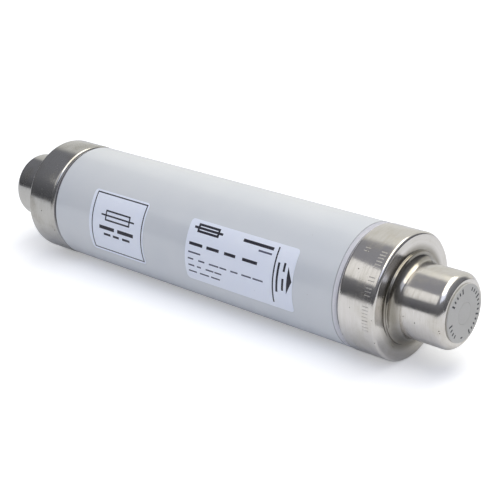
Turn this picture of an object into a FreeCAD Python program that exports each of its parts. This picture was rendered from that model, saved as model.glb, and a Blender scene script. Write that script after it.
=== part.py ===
"""Medium voltage fuse link with a spring striker, 292 mm between its cap faces.

The axis of the fuse is X, with the striker end at +X and +Z up. The origin is the
middle of the fuse. Lengths are in millimetres and angles in degrees.
"""

import FreeCAD, Part
import Sketcher
import math
import os
import re

# Driving sizes: each one is a cell of the sheet, under the same name
SIZES = [
    ("body_length", 292.0, "between the outer faces of the two end caps"),
    ("barrel_diameter", 76.2, "glazed porcelain tube, outside"),
    ("barrel_wall", 8.1, "glazed porcelain tube, wall"),
    ("barrel_edge_round", 0.9, "rounding of the glazed shoulder beside each cap"),
    ("flank_width", 3.6, "glazed slope between the full diameter and the crimp"),
    ("crimp_depth", 0.7, "depth of the crimp groove under the seat of the cap"),
    ("cap_step", 0.3, "end cap skirt above the full diameter of the barrel"),
    ("cap_wall", 1.2, "sheet thickness of the end caps"),
    ("cap_skirt", 24.7, "cap face to the tip of the crimped lip"),
    ("shoulder_round", 2.5, "rounding between skirt and cap face"),
    ("lip_round", 1.8, "outer bend of the crimped lip"),
    ("collar_diameter", 55.2, "raised collar round the contact"),
    ("collar_height", 2.0, "collar above the cap face"),
    ("collar_bevel", 0.8, "bevel on the edge of the collar"),
    ("contact_diameter", 45.0, "round contact that the clips grip"),
    ("contact_length", 34.5, "cap face to the end of the contact"),
    ("contact_root_round", 4.8, "fillet between collar and contact"),
    ("contact_end_round", 5.0, "rounding at the end of the contact"),
    ("end_wall", 1.2, "metal left behind the marking disc"),
    ("disc_diameter", 38.0, "grey marking disc on the striker end"),
    ("disc_thickness", 0.8, "grey marking disc"),
    ("patch_diameter", 12.8, "centre of the disc that the striker lifts out"),
    ("inner_cap_wall", 0.8, "sheet thickness of the inner caps"),
    ("inner_cap_skirt", 17.0, "length of the inner caps over the barrel"),
    ("gasket_thickness", 1.2, "sealing ring on the end of the barrel"),
    ("gasket_set_back", 0.5, "bore of the sealing ring outside the bore of the barrel"),
    ("terminal_wall", 1.2, "sheet thickness of the winding terminals"),
    ("terminal_flange_diameter", 35.0, "flange welded to the inner cap"),
    ("plain_terminal_depth", 7.0, "inner cap to the core at the plain end"),
    ("tab_width", 5.0, "welding tab of a terminal"),
    ("tab_lip_length", 8.0, "bent lip of a welding tab"),
    ("tab_lip_wall", 1.0, "thickness of the bent lip"),
    ("filling_hole_diameter", 5.6, "hole for the sand in the plain inner cap"),
    ("filling_hole_offset", 21.0, "centre of that hole from the axis"),
    ("plug_head_diameter", 7.6, "head of the filling plug"),
    ("plug_head_thickness", 1.2, "head of the filling plug"),
    ("plug_tail", 0.9, "plug below the inner cap"),
    ("core_hub_diameter", 15.0, "hub of the star core"),
    ("core_bore", 5.0, "bore for the trip wire"),
    ("rib_diameter", 40.0, "over the crests of the ribs"),
    ("rib_thickness", 3.2, "one rib of the star core"),
    ("notch_depth", 1.2, "seat of a strip in a rib crest"),
    ("winding_turns", 8.0, "turns of each silver strip"),
    ("winding_lead", 3.2, "core end to the middle of a strip's end"),
    ("strip_width", 2.4, "silver strip"),
    ("strip_thickness", 0.3, "silver strip"),
    ("strip_neck", 0.9, "strip width at a punched restriction"),
    ("neck_length", 2.4, "length of a punched restriction"),
    ("tin_spot_length", 2.4, "low melting spot along the fuse"),
    ("tin_spot_width", 3.0, "low melting spot across the panel"),
    ("tin_spot_height", 0.6, "low melting spot above the strip"),
    ("wire_diameter", 0.5, "trip wire"),
    ("wire_hole_diameter", 1.2, "holes that the trip wire passes"),
    ("anchor_diameter", 3.6, "crimped sleeve that holds the trip wire"),
    ("anchor_length", 3.0, "crimped sleeve that holds the trip wire"),
    ("housing_diameter", 21.0, "striker housing, outside"),
    ("housing_wall", 1.5, "striker housing wall and nose"),
    ("housing_length", 50.0, "striker housing"),
    ("base_thickness", 4.0, "plug that closes the rear of the housing"),
    ("spigot_diameter", 5.6, "spigot of the base inside the spring"),
    ("spigot_height", 2.0, "spigot of the base inside the spring"),
    ("pin_diameter", 11.9, "striker pin"),
    ("pin_bore", 9.8, "spring pocket in the striker pin"),
    ("pin_nose", 3.0, "solid nose of the striker pin"),
    ("pin_nose_bevel", 0.8, "bevel on the nose"),
    ("pin_flange_thickness", 3.0, "stop flange of the striker pin"),
    ("striker_travel", 28.0, "stroke of the striker pin"),
    ("stop_allowance", 0.2, "left between flange and housing nose after the stroke"),
    ("spring_diameter", 8.8, "striker spring, outside"),
    ("spring_wire", 1.0, "square wire of the striker spring"),
    ("spring_turns", 9.0, "turns of the striker spring"),
    ("label_thickness", 0.12, "printed film"),
    ("label_corner", 2.5, "corner of a label"),
    ("rating_label_start", 3.7, "right label, edge nearest the middle"),
    ("rating_label_length", 85.2, "right label along the barrel"),
    ("rating_label_top_angle", 38.0, "right label, upper edge above the side line"),
    ("rating_label_angle", 59.9, "right label round the barrel"),
    ("range_label_start", -84.0, "left label, edge nearest the plain end"),
    ("range_label_length", 50.3, "left label along the barrel"),
    ("range_label_top_angle", 39.0, "left label, upper edge above the side line"),
    ("range_label_angle", 63.7, "left label round the barrel"),
    ("seam_gap", 0.05, "clearance between nested thin shells"),
    ("slide_gap", 0.05, "radial clearance of the striker pin in its guide"),
    ("flange_gap", 0.1, "radial clearance of the pin flange in the housing"),
    ("patch_gap", 0.1, "score line round the centre of the disc"),
    ("opening_gap", 0.2, "contact end opening wider than the patch"),
    ("lip_gap", 0.4, "crimped lip above the bottom of its groove"),
    ("groove_gap", 0.9, "groove wider than the lip on each side"),
    ("core_gap", 0.2, "core to terminal"),
    ("notch_gap", 0.35, "notch wider than the strip on each side"),
    ("fill_gap", 0.3, "sand column outside the rib crests"),
]

# The star core has twice as many ribs as there are strips, so that every strip can
# start on a rib of its own at the same place along the core.
RIBS = 6
STRIPS = 3

# Every third panel of a strip has a neck, and a strip starts and ends halfway
# between two ribs.
NECK_EVERY = 3
HALFWAY = 0.5

# Two sizes closer than this are the same size
SAME = 1e-5

# Places and sizes that follow from the driving sizes
FITTED = {
    "half_body": "body_length / 2",
    "cap_radius": "barrel_diameter / 2 + cap_step",
    "cap_inside": "cap_radius - cap_wall",
    "inner_cap_radius": "cap_inside - seam_gap",
    "inner_cap_bore": "inner_cap_radius - inner_cap_wall",
    "seat_radius": "inner_cap_bore - seam_gap",
    "groove_radius": "seat_radius - crimp_depth",
    "lip_radius": "groove_radius + lip_gap",
    "lip_place": "half_body - cap_skirt",
    "inner_cap_out": "half_body - cap_wall",
    "inner_cap_in": "inner_cap_out - inner_cap_wall",
    "half_barrel": "inner_cap_in - gasket_thickness",
    "bore_radius": "barrel_diameter / 2 - barrel_wall",
    "gasket_bore_radius": "bore_radius + gasket_set_back",
    "contact_radius": "contact_diameter / 2",
    "contact_end": "half_body + contact_length",
    "collar_radius": "collar_diameter / 2",
    "collar_place": "half_body + collar_height",
    "disc_seat": "contact_end - disc_thickness",
    "end_inside": "disc_seat - end_wall",
    "disc_radius": "disc_diameter / 2",
    "patch_radius": "patch_diameter / 2",
    "opening_radius": "patch_radius + opening_gap",
    "housing_radius": "housing_diameter / 2",
    "housing_inside": "housing_radius - housing_wall",
    "housing_rear": "end_inside - housing_length",
    "nose_inside": "end_inside - housing_wall",
    "terminal_bore": "housing_radius + seam_gap",
    "terminal_radius": "terminal_bore + terminal_wall",
    "striker_core_face": "housing_rear - terminal_wall",
    "plain_core_face": "inner_cap_in - plain_terminal_depth",
    "core_length": "striker_core_face + plain_core_face - 2 * core_gap",
    "rib_radius": "rib_diameter / 2",
    "notch_floor": "rib_radius - notch_depth",
    "strip_under": "notch_floor + seam_gap",
    "half_step": "180 / %d" % RIBS,
    "panel_under": "strip_under * cos(half_step) + rib_thickness / 2 * sin(half_step)",
    "panel_top": "panel_under + strip_thickness",
    "panel_length": "2 * strip_under * sin(half_step) - rib_thickness * cos(half_step)",
    "winding_length": "core_length - 2 * winding_lead",
    "rib_pitch": "winding_length / (winding_turns * %d)" % RIBS,
    "winding_slope": "rib_pitch / (panel_length + rib_thickness)",
    "strip_half_reach": "strip_width / 2 * sqrt(1 + winding_slope * winding_slope)",
    "notch_half": "strip_half_reach + winding_slope * rib_thickness / 2 + notch_gap",
    "notches": "winding_turns * %d" % STRIPS,
    "pin_radius": "pin_diameter / 2",
    "pin_front": "disc_seat - seam_gap",
    "flange_front": "nose_inside - stop_allowance - striker_travel",
    "flange_rear": "flange_front - pin_flange_thickness",
    "pocket_end": "pin_front - pin_nose",
    "base_front": "housing_rear + base_thickness",
    "spring_radius": "(spring_diameter - spring_wire) / 2",
    "spring_rise": "pocket_end - base_front - spring_wire - 2 * seam_gap",
    "label_inside": "barrel_diameter / 2 + seam_gap",
    "label_outside": "label_inside + label_thickness",
}

document = FreeCAD.newDocument("medium_voltage_fuse")
sheet = document.addObject("Spreadsheet::Sheet", "Sizes")


def fill_sheet():
    """Write each driving size with its name and its meaning."""
    for row, (name, size, meaning) in enumerate(SIZES, 1):
        sheet.set("A%d" % row, name)
        sheet.set("B%d" % row, str(size))
        sheet.set("C%d" % row, meaning)
        sheet.setAlias("B%d" % row, name)
    document.recompute()


def formula(words):
    """Spell a rule made of size names as an expression on the sheet."""
    aliases = [name for name, size, meaning in SIZES]

    def spell(match):
        name = match.group(0)
        if name in FITTED:
            return "(" + formula(FITTED[name]) + ")"
        if name in aliases:
            return "Sizes." + name
        return name

    return re.sub("[a-z][a-z_]+", spell, words)


def measure(words):
    """The value of a rule with the sizes as they are now."""
    return float(sheet.evalExpression(formula(words)))


def bind(thing, target, words):
    """Tie one property of an object, or one part of it, to the sheet."""
    thing.setExpression(target, formula(words))


def new_body(name):
    """A body whose label is the name of its sub-part."""
    body = document.addObject("PartDesign::Body", name)
    body.Label = name
    return body


def origin_plane(body, role):
    """One of the body's own origin planes."""
    return [piece for piece in body.Origin.OriginFeatures if piece.Role == role][0]


def new_sketch(body, name, role):
    """An empty sketch that lies on one of the body's origin planes."""
    sketch = body.newObject("Sketcher::SketchObject", name)
    sketch.AttachmentSupport = [(origin_plane(body, role), "")]
    sketch.MapMode = "FlatFace"
    return sketch


def hold_point(sketch, line, across, words):
    """Hold the first point of a line at a distance from the sketch's origin."""
    if words == "0":
        axis = -2 if across else -1
        sketch.addConstraint(Sketcher.Constraint("PointOnObject", line, 1, axis))
        return
    kind = "DistanceX" if across else "DistanceY"
    rule = Sketcher.Constraint(kind, -1, 1, line, 1, measure(words))
    number = sketch.addConstraint(rule)
    bind(sketch, "Constraints[%d]" % number, words)


def outline(body, name, role, corners):
    """A closed outline of straight lines whose corners follow the sheet."""
    sketch = new_sketch(body, name, role)
    points = [FreeCAD.Vector(measure(x), measure(y), 0) for x, y in corners]
    count = len(corners)
    for line in range(count):
        side = Part.LineSegment(points[line], points[(line + 1) % count])
        sketch.addGeometry(side, False)
    for line in range(count):
        rule = Sketcher.Constraint("Coincident", line, 2, (line + 1) % count, 1)
        sketch.addConstraint(rule)
    for line, (x, y) in enumerate(corners):
        hold_point(sketch, line, True, x)
        hold_point(sketch, line, False, y)
    return sketch


def circle_outline(body, name, radius):
    """A circle round the axis of the fuse, across it."""
    sketch = new_sketch(body, name, "YZ_Plane")
    middle = FreeCAD.Vector(0, 0, 0)
    along = FreeCAD.Vector(0, 0, 1)
    sketch.addGeometry(Part.Circle(middle, along, measure(radius)), False)
    sketch.addConstraint(Sketcher.Constraint("Coincident", 0, 3, -1, 1))
    number = sketch.addConstraint(Sketcher.Constraint("Radius", 0, measure(radius)))
    bind(sketch, "Constraints[%d]" % number, radius)
    return sketch


def turn(body, name, corners, angle="360"):
    """Turn an outline of (along the axis, from the axis) corners about X."""
    sketch = outline(body, name + "_outline", "XZ_Plane", corners)
    feature = body.newObject("PartDesign::Revolution", name)
    feature.Profile = sketch
    feature.ReferenceAxis = (sketch, ["H_Axis"])
    bind(feature, "Angle", angle)
    return feature


def turn_away(body, name, corners):
    """Cut what an outline sweeps when it turns about X."""
    sketch = outline(body, name + "_outline", "XZ_Plane", corners)
    feature = body.newObject("PartDesign::Groove", name)
    feature.Profile = sketch
    feature.ReferenceAxis = (sketch, ["H_Axis"])
    feature.Angle = 360
    return feature


def pad(body, name, sketch, length, both_ways=False):
    """Raise a sketch into a solid."""
    feature = body.newObject("PartDesign::Pad", name)
    feature.Profile = sketch
    feature.SideType = "Symmetric" if both_ways else "One side"
    bind(feature, "Length", length)
    return feature


def polar(body, name, original, sketch, count, axis="H_Axis"):
    """Repeat one feature evenly about the fuse's axis."""
    pattern = body.newObject("PartDesign::PolarPattern", name)
    pattern.Originals = [original]
    pattern.Axis = (sketch, [axis])
    pattern.Angle = 360
    pattern.Occurrences = count
    body.Tip = pattern
    return pattern


def rim(feature, along, radius):
    """The names of the circular edges of a shape at one place and radius."""
    document.recompute()
    place = measure(along)
    size = measure(radius)
    names = []
    for number, edge in enumerate(feature.Shape.Edges, 1):
        curve = edge.Curve
        if curve.TypeId != "Part::GeomCircle":
            continue
        if abs(curve.Radius - size) < SAME and abs(curve.Center.x - place) < SAME:
            names.append("Edge%d" % number)
    return names


def round_rims(body, name, base, rims, radius):
    """Round circular edges, each given as (place along X, radius)."""
    names = []
    for along, size in rims:
        names += rim(base, along, size)
    feature = body.newObject("PartDesign::Fillet", name)
    feature.Base = (base, names)
    bind(feature, "Radius", radius)
    return feature


def bevel_rims(body, name, base, rims, size):
    """Bevel circular edges, each given as (place along X, radius)."""
    names = []
    for along, radius in rims:
        names += rim(base, along, radius)
    feature = body.newObject("PartDesign::Chamfer", name)
    feature.Base = (base, names)
    bind(feature, "Size", size)
    return feature


def face_plain_end(body):
    """Turn a body made for the striker end round to the plain end."""
    body.Placement = FreeCAD.Placement(FreeCAD.Vector(0, 0, 0),
                                       FreeCAD.Rotation(FreeCAD.Vector(0, 0, 1), 180))


def make_barrel():
    """Porcelain tube with a ground seat and a crimp groove at each end."""
    body = new_body("barrel")
    right = [
        ("lip_place - flank_width", "barrel_diameter / 2"),
        ("lip_place - groove_gap", "groove_radius"),
        ("lip_place + cap_wall + groove_gap", "groove_radius"),
        ("lip_place + cap_wall + groove_gap", "seat_radius"),
        ("half_barrel", "seat_radius"),
        ("half_barrel", "bore_radius"),
    ]
    left = [("-(%s)" % along, radius) for along, radius in reversed(right)]
    tube = turn(body, "tube", right + left)
    shoulder = "lip_place - flank_width"
    rims = [(shoulder, "barrel_diameter / 2"), ("-(%s)" % shoulder, "barrel_diameter / 2")]
    round_rims(body, "glazed_shoulders", tube, rims, "barrel_edge_round")
    return body


def make_end_cap(name, has_striker):
    """Drawn end cap: crimped skirt, face, collar and contact in one sheet."""
    body = new_body(name)
    end_face = "end_inside" if has_striker else "contact_end - end_wall"
    corners = [
        ("lip_place", "lip_radius"),
        ("lip_place", "cap_radius"),
        ("half_body", "cap_radius"),
        ("half_body", "collar_radius"),
        ("collar_place", "collar_radius"),
        ("collar_place", "contact_radius"),
        ("contact_end", "contact_radius"),
        ("contact_end", "0"),
        (end_face, "0"),
        (end_face, "contact_radius - cap_wall"),
        ("collar_place - cap_wall", "contact_radius - cap_wall"),
        ("collar_place - cap_wall", "collar_radius - cap_wall"),
        ("inner_cap_out", "collar_radius - cap_wall"),
        ("inner_cap_out", "cap_inside"),
        ("lip_place + cap_wall", "cap_inside"),
        ("lip_place + cap_wall", "lip_radius"),
    ]
    shell = turn(body, "drawn_shell", corners)
    shell = round_rims(body, "shoulder", shell, [("half_body", "cap_radius")],
                       "shoulder_round")
    shell = round_rims(body, "crimped_lip", shell, [("lip_place", "cap_radius")],
                       "lip_round")
    shell = round_rims(body, "contact_root", shell, [("collar_place", "contact_radius")],
                       "contact_root_round")
    shell = round_rims(body, "contact_end", shell, [("contact_end", "contact_radius")],
                       "contact_end_round")
    shell = bevel_rims(body, "collar_edge", shell, [("collar_place", "collar_radius")],
                       "collar_bevel")
    if has_striker:
        turn_away(body, "disc_recess", [
            ("disc_seat", "opening_radius"),
            ("disc_seat", "disc_radius + seam_gap"),
            ("contact_end + disc_thickness", "disc_radius + seam_gap"),
            ("contact_end + disc_thickness", "0"),
            ("end_inside - end_wall", "0"),
            ("end_inside - end_wall", "opening_radius"),
        ])
    else:
        face_plain_end(body)
    return body


def make_gasket(name, at_striker):
    """Sealing ring between the end of the barrel and the inner cap."""
    body = new_body(name)
    turn(body, "ring", [
        ("half_barrel", "gasket_bore_radius"),
        ("half_barrel", "seat_radius"),
        ("inner_cap_in", "seat_radius"),
        ("inner_cap_in", "gasket_bore_radius"),
    ])
    if not at_striker:
        face_plain_end(body)
    return body


def make_inner_cap(name, at_striker):
    """Thin cap pressed over the barrel before the outer cap is crimped on."""
    body = new_body(name)
    cup = turn(body, "cup", [
        ("inner_cap_out", "terminal_bore"),
        ("inner_cap_out", "inner_cap_radius"),
        ("inner_cap_out - inner_cap_skirt", "inner_cap_radius"),
        ("inner_cap_out - inner_cap_skirt", "inner_cap_bore"),
        ("inner_cap_in", "inner_cap_bore"),
        ("inner_cap_in", "terminal_bore"),
    ])
    if at_striker:
        return body
    document.recompute()
    hole = new_sketch(body, "filling_hole_outline", "YZ_Plane")
    middle = FreeCAD.Vector(0, measure("filling_hole_offset"), 0)
    size = measure("filling_hole_diameter / 2")
    hole.addGeometry(Part.Circle(middle, FreeCAD.Vector(0, 0, 1), size), False)
    hole.addConstraint(Sketcher.Constraint("PointOnObject", 0, 3, -1))
    offset = Sketcher.Constraint("DistanceX", -1, 1, 0, 3, middle.y)
    bind(hole, "Constraints[%d]" % hole.addConstraint(offset), "filling_hole_offset")
    radius = Sketcher.Constraint("Radius", 0, size)
    bind(hole, "Constraints[%d]" % hole.addConstraint(radius), "filling_hole_diameter / 2")
    pocket = body.newObject("PartDesign::Pocket", "filling_hole")
    pocket.Profile = hole
    pocket.Reversed = True
    bind(pocket, "Length", "half_body")
    face_plain_end(body)
    return body


def make_filling_plug():
    """Push-in plug that closes the filling hole of the plain inner cap."""
    body = new_body("filling_plug")
    turn(body, "plug", [
        ("inner_cap_in - plug_tail", "0"),
        ("inner_cap_in - plug_tail", "filling_hole_diameter / 2 - seam_gap"),
        ("inner_cap_out", "filling_hole_diameter / 2 - seam_gap"),
        ("inner_cap_out", "plug_head_diameter / 2"),
        ("inner_cap_out + plug_head_thickness", "plug_head_diameter / 2"),
        ("inner_cap_out + plug_head_thickness", "0"),
    ])
    face_plain_end(body)
    bind(body, "Placement.Base.y", "-filling_hole_offset")
    return body


def make_terminal(name, core_face, at_striker):
    """Pressed terminal: flange, cup and tabs that the strips are welded to."""
    body = new_body(name)
    turn(body, "cup", [
        (core_face, "wire_hole_diameter / 2"),
        (core_face, "terminal_radius"),
        ("inner_cap_in - terminal_wall", "terminal_radius"),
        ("inner_cap_in - terminal_wall", "terminal_flange_diameter / 2"),
        ("inner_cap_in", "terminal_flange_diameter / 2"),
        ("inner_cap_in", "terminal_bore"),
        (core_face + " + terminal_wall", "terminal_bore"),
        (core_face + " + terminal_wall", "wire_hole_diameter / 2"),
    ])
    bend = outline(body, "tab_outline", "XZ_Plane", [
        (core_face + " + terminal_wall", "terminal_bore"),
        (core_face + " + terminal_wall", "panel_top + tab_lip_wall"),
        (core_face + " + terminal_wall - tab_lip_length", "panel_top + tab_lip_wall"),
        (core_face + " + terminal_wall - tab_lip_length", "panel_top"),
        (core_face, "panel_top"),
        (core_face, "terminal_bore"),
    ])
    tab = pad(body, "tab", bend, "tab_width", both_ways=True)
    polar(body, "tabs", tab, bend, STRIPS)
    between_ribs = FreeCAD.Rotation(FreeCAD.Vector(1, 0, 0), -180 / RIBS)
    body.Placement = FreeCAD.Placement(FreeCAD.Vector(0, 0, 0), between_ribs)
    if not at_striker:
        turned_round = FreeCAD.Rotation(FreeCAD.Vector(0, 0, 1), 180)
        body.Placement = FreeCAD.Placement(FreeCAD.Vector(0, 0, 0),
                                           between_ribs.multiply(turned_round))
    return body


def cut_notches(body, name, side, first):
    """Notch every second rib along its crest, once for each crossing strip."""
    sketch = outline(body, name + "_outline", "XZ_Plane", [
        (first + " - notch_half", side + "notch_floor"),
        (first + " - notch_half", side + "(rib_radius + notch_depth)"),
        (first + " + notch_half", side + "(rib_radius + notch_depth)"),
        (first + " + notch_half", side + "notch_floor"),
    ])
    notch = body.newObject("PartDesign::Pocket", name + "_first")
    notch.Profile = sketch
    notch.SideType = "Symmetric"
    bind(notch, "Length", "2 * rib_thickness")
    document.recompute()
    every = body.newObject("PartDesign::MultiTransform", name)
    every.Originals = [notch]
    along = body.newObject("PartDesign::LinearPattern", name + "_along")
    along.Direction = (sketch, ["H_Axis"])
    bind(along, "Length", "2 * rib_pitch * (notches - 1)")
    bind(along, "Occurrences", "notches")
    around = body.newObject("PartDesign::PolarPattern", name + "_around")
    around.Axis = (sketch, ["H_Axis"])
    around.Angle = 360
    around.Occurrences = STRIPS
    every.Transformations = [along, around]
    body.Tip = every


def make_star_core():
    """Ceramic former with notched ribs; it is made from its plain end face."""
    body = new_body("star_core")
    pad(body, "hub", circle_outline(body, "hub_outline", "core_hub_diameter / 2"),
        "core_length")
    rib_outline = outline(body, "rib_outline", "YZ_Plane", [
        ("-rib_thickness / 2", "0"),
        ("-rib_thickness / 2", "rib_radius"),
        ("rib_thickness / 2", "rib_radius"),
        ("rib_thickness / 2", "0"),
    ])
    rib = pad(body, "rib", rib_outline, "core_length")
    polar(body, "ribs", rib, rib_outline, RIBS, "N_Axis")
    bore = body.newObject("PartDesign::Pocket", "wire_bore")
    bore.Profile = circle_outline(body, "wire_bore_outline", "core_bore / 2")
    bore.Reversed = True
    bind(bore, "Length", "core_length")
    document.recompute()
    cut_notches(body, "even_notches", "", "winding_lead + rib_pitch / 2")
    cut_notches(body, "odd_notches", "-", "winding_lead + 3 * rib_pitch / 2")
    bind(body, "Placement.Base.x", "core_gap - plain_core_face")
    return body


def fold_corner(fold, lift):
    """Where a strip bends over a rib, at a height above the notch floors."""
    rib, side = divmod(fold, 2)
    angle = math.radians(90 + rib * 360 / RIBS)
    reach = measure("strip_under") + lift
    half = measure("rib_thickness / 2") + lift * math.tan(math.radians(90 / RIBS))
    offset = half if side else -half
    across = reach * math.cos(angle) - offset * math.sin(angle)
    up = reach * math.sin(angle) + offset * math.cos(angle)
    return FreeCAD.Vector(0, across, up)


def strip_stations(length, necked):
    """Shares of one panel, each with the strip's half width there."""
    full = measure("strip_half_reach")
    if not necked:
        return [(0.0, full), (1.0, full)]
    neck = full * measure("strip_neck / strip_width")
    half_neck = measure("neck_length") / (2 * length)
    return [(0.0, full), (HALFWAY - half_neck, full), (HALFWAY, neck),
            (HALFWAY + half_neck, full), (1.0, full)]


def strip_rows(lift):
    """Edge points of a strip at one height, panel by panel along the winding.

    The strip is a flat band with a constant slope, folded over the rib crests. It
    starts and ends in the middle of the panel between two ribs.
    """
    slope = measure("winding_slope")
    crest = measure("rib_thickness")
    gap = measure("panel_length")
    start = measure("core_gap - plain_core_face + winding_lead")
    crossings = round(measure("winding_turns")) * RIBS
    first_fold = -1
    last_fold = 2 * crossings - 1
    rows = []
    walked = 0.0
    for fold in range(first_fold, last_fold + 1):
        over_crest = fold % 2 == 0
        length = crest if over_crest else gap
        low = HALFWAY if fold == first_fold else 0.0
        high = HALFWAY if fold == last_fold else 1.0
        panel_number = (fold - first_fold) // 2
        necked = not over_crest and panel_number % NECK_EVERY == NECK_EVERY - 1
        whole = low == 0.0 and high == 1.0
        stations = strip_stations(length, necked and whole)
        first = fold_corner(fold, lift)
        last = fold_corner(fold + 1, lift)
        panel = []
        for share, half in stations:
            share = min(max(share, low), high)
            place = first + (last - first) * share
            along = start + slope * (walked + (share - low) * length)
            near = FreeCAD.Vector(along - half, place.y, place.z)
            far = FreeCAD.Vector(along + half, place.y, place.z)
            panel.append((near, far))
        walked += (high - low) * length
        rows.append(panel)
    return rows


def flat_face(points):
    """A plane face with these corners."""
    return Part.Face(Part.makePolygon(points + [points[0]]))


def strip_solid():
    """One silver strip as a closed shell of plane faces."""
    under = strip_rows(0.0)
    over = strip_rows(measure("strip_thickness"))
    faces = []
    for low, high in zip(under, over):
        for panel in (low, high):
            near = [pair[0] for pair in panel]
            far = [pair[1] for pair in reversed(panel)]
            faces.append(flat_face(near + far))
        for step in range(len(low) - 1):
            for edge in (0, 1):
                a, b = low[step][edge], low[step + 1][edge]
                c, d = high[step + 1][edge], high[step][edge]
                faces.append(flat_face([a, b, c]))
                faces.append(flat_face([a, c, d]))
    for low, high in ((under[0][0], over[0][0]), (under[-1][-1], over[-1][-1])):
        faces.append(flat_face([low[0], low[1], high[1], high[0]]))
    shell = Part.makeShell(faces)
    shell.sewShape()
    solid = Part.makeSolid(Part.makeShell(shell.Faces))
    if solid.Volume < 0:
        solid.reverse()
    return solid


def make_fuse_elements():
    """Silver strips wound side by side, one third of a turn apart."""
    strip = strip_solid()
    pieces = []
    for number in range(STRIPS):
        piece = document.addObject("Part::Feature", "fuse_element_%d" % (number + 1))
        piece.Shape = strip
        turned_round = FreeCAD.Rotation(FreeCAD.Vector(1, 0, 0), number * 360 / STRIPS)
        piece.Placement = FreeCAD.Placement(FreeCAD.Vector(0, 0, 0), turned_round)
        pieces.append(piece)
    return pieces


def make_tin_spots():
    """Low melting spots, one on each strip at the middle of the winding."""
    body = new_body("tin_spots")
    middle = "(winding_turns / 2) * %d * rib_pitch" % RIBS
    spot_outline = outline(body, "spot_outline", "XZ_Plane", [
        (middle + " - tin_spot_length / 2", "panel_top"),
        (middle + " - tin_spot_length / 2", "panel_top + tin_spot_height"),
        (middle + " + tin_spot_length / 2", "panel_top + tin_spot_height"),
        (middle + " + tin_spot_length / 2", "panel_top"),
    ])
    spot = pad(body, "spot", spot_outline, "tin_spot_width", both_ways=True)
    polar(body, "spots", spot, spot_outline, STRIPS)
    between_ribs = FreeCAD.Rotation(FreeCAD.Vector(1, 0, 0), -180 / RIBS)
    body.Placement = FreeCAD.Placement(FreeCAD.Vector(0, 0, 0), between_ribs)
    bind(body, "Placement.Base.x", "core_gap - plain_core_face + winding_lead")
    return body


def make_quartz_filler():
    """Sand column between the winding and the bore of the barrel."""
    body = new_body("quartz_filler")
    turn(body, "column", [
        ("-half_barrel", "rib_radius + fill_gap"),
        ("-half_barrel", "bore_radius - seam_gap"),
        ("half_barrel", "bore_radius - seam_gap"),
        ("half_barrel", "rib_radius + fill_gap"),
    ])
    return body


def make_trip_wire():
    """Fine wire that holds the striker back, through the bore of the core."""
    wire = document.addObject("Part::Cylinder", "trip_wire")
    bind(wire, "Radius", "wire_diameter / 2")
    rear = "plain_core_face + terminal_wall + anchor_length"
    bind(wire, "Height", "pocket_end + " + rear)
    wire.Placement = FreeCAD.Placement(FreeCAD.Vector(0, 0, 0),
                                       FreeCAD.Rotation(FreeCAD.Vector(0, 1, 0), 90))
    bind(wire, "Placement.Base.x", "-(%s)" % rear)
    return wire


def make_wire_anchor():
    """Sleeve crimped on the wire behind the plain terminal."""
    body = new_body("wire_anchor")
    turn(body, "sleeve", [
        ("plain_core_face + terminal_wall", "wire_diameter / 2 + seam_gap"),
        ("plain_core_face + terminal_wall", "anchor_diameter / 2"),
        ("plain_core_face + terminal_wall + anchor_length", "anchor_diameter / 2"),
        ("plain_core_face + terminal_wall + anchor_length", "wire_diameter / 2 + seam_gap"),
    ])
    face_plain_end(body)
    return body


def make_striker_housing():
    """Tube inside the contact that guides the pin with its nose."""
    body = new_body("striker_housing")
    turn(body, "tube", [
        ("housing_rear", "housing_inside"),
        ("housing_rear", "housing_radius"),
        ("end_inside", "housing_radius"),
        ("end_inside", "pin_radius + slide_gap"),
        ("nose_inside", "pin_radius + slide_gap"),
        ("nose_inside", "housing_inside"),
    ])
    return body


def make_striker_base():
    """Plug in the rear of the housing that carries the spring."""
    body = new_body("striker_base")
    turn(body, "plug", [
        ("housing_rear", "wire_hole_diameter / 2"),
        ("housing_rear", "housing_inside - seam_gap"),
        ("base_front", "housing_inside - seam_gap"),
        ("base_front", "spigot_diameter / 2"),
        ("base_front + spigot_height", "spigot_diameter / 2"),
        ("base_front + spigot_height", "wire_hole_diameter / 2"),
    ])
    return body


def make_striker_pin():
    """Hollow pin with a stop flange; the spring pushes in its pocket."""
    body = new_body("striker_pin")
    pin = turn(body, "pin", [
        ("flange_rear", "pin_bore / 2"),
        ("flange_rear", "housing_inside - flange_gap"),
        ("flange_front", "housing_inside - flange_gap"),
        ("flange_front", "pin_radius"),
        ("pin_front", "pin_radius"),
        ("pin_front", "0"),
        ("pocket_end", "0"),
        ("pocket_end", "pin_bore / 2"),
    ])
    bevel_rims(body, "nose_bevel", pin, [("pin_front", "pin_radius")], "pin_nose_bevel")
    return body


def make_striker_spring():
    """Compressed spring of square wire, swept along straight chords of its coil."""
    chords = 12
    radius = measure("spring_radius")
    wire = measure("spring_wire")
    rise = measure("spring_rise")
    steps = round(chords * measure("spring_turns"))
    start = measure("base_front + seam_gap + spring_wire / 2")
    path = []
    for step in range(steps + 1):
        angle = 2 * math.pi * step / chords
        path.append(FreeCAD.Vector(start + rise * step / steps,
                                   radius * math.cos(angle), radius * math.sin(angle)))
    half = wire / 2
    corners = [(-half, -half), (half, -half), (half, half), (-half, half)]
    section = [path[0] + FreeCAD.Vector(along, out, 0) for along, out in corners]
    section = Part.makePolygon(section + [section[0]])
    right_corner = 1
    spine = Part.makePolygon(path)
    spring = document.addObject("Part::Feature", "striker_spring")
    spring.Shape = spine.makePipeShell([section], True, False, right_corner)
    return spring


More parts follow.
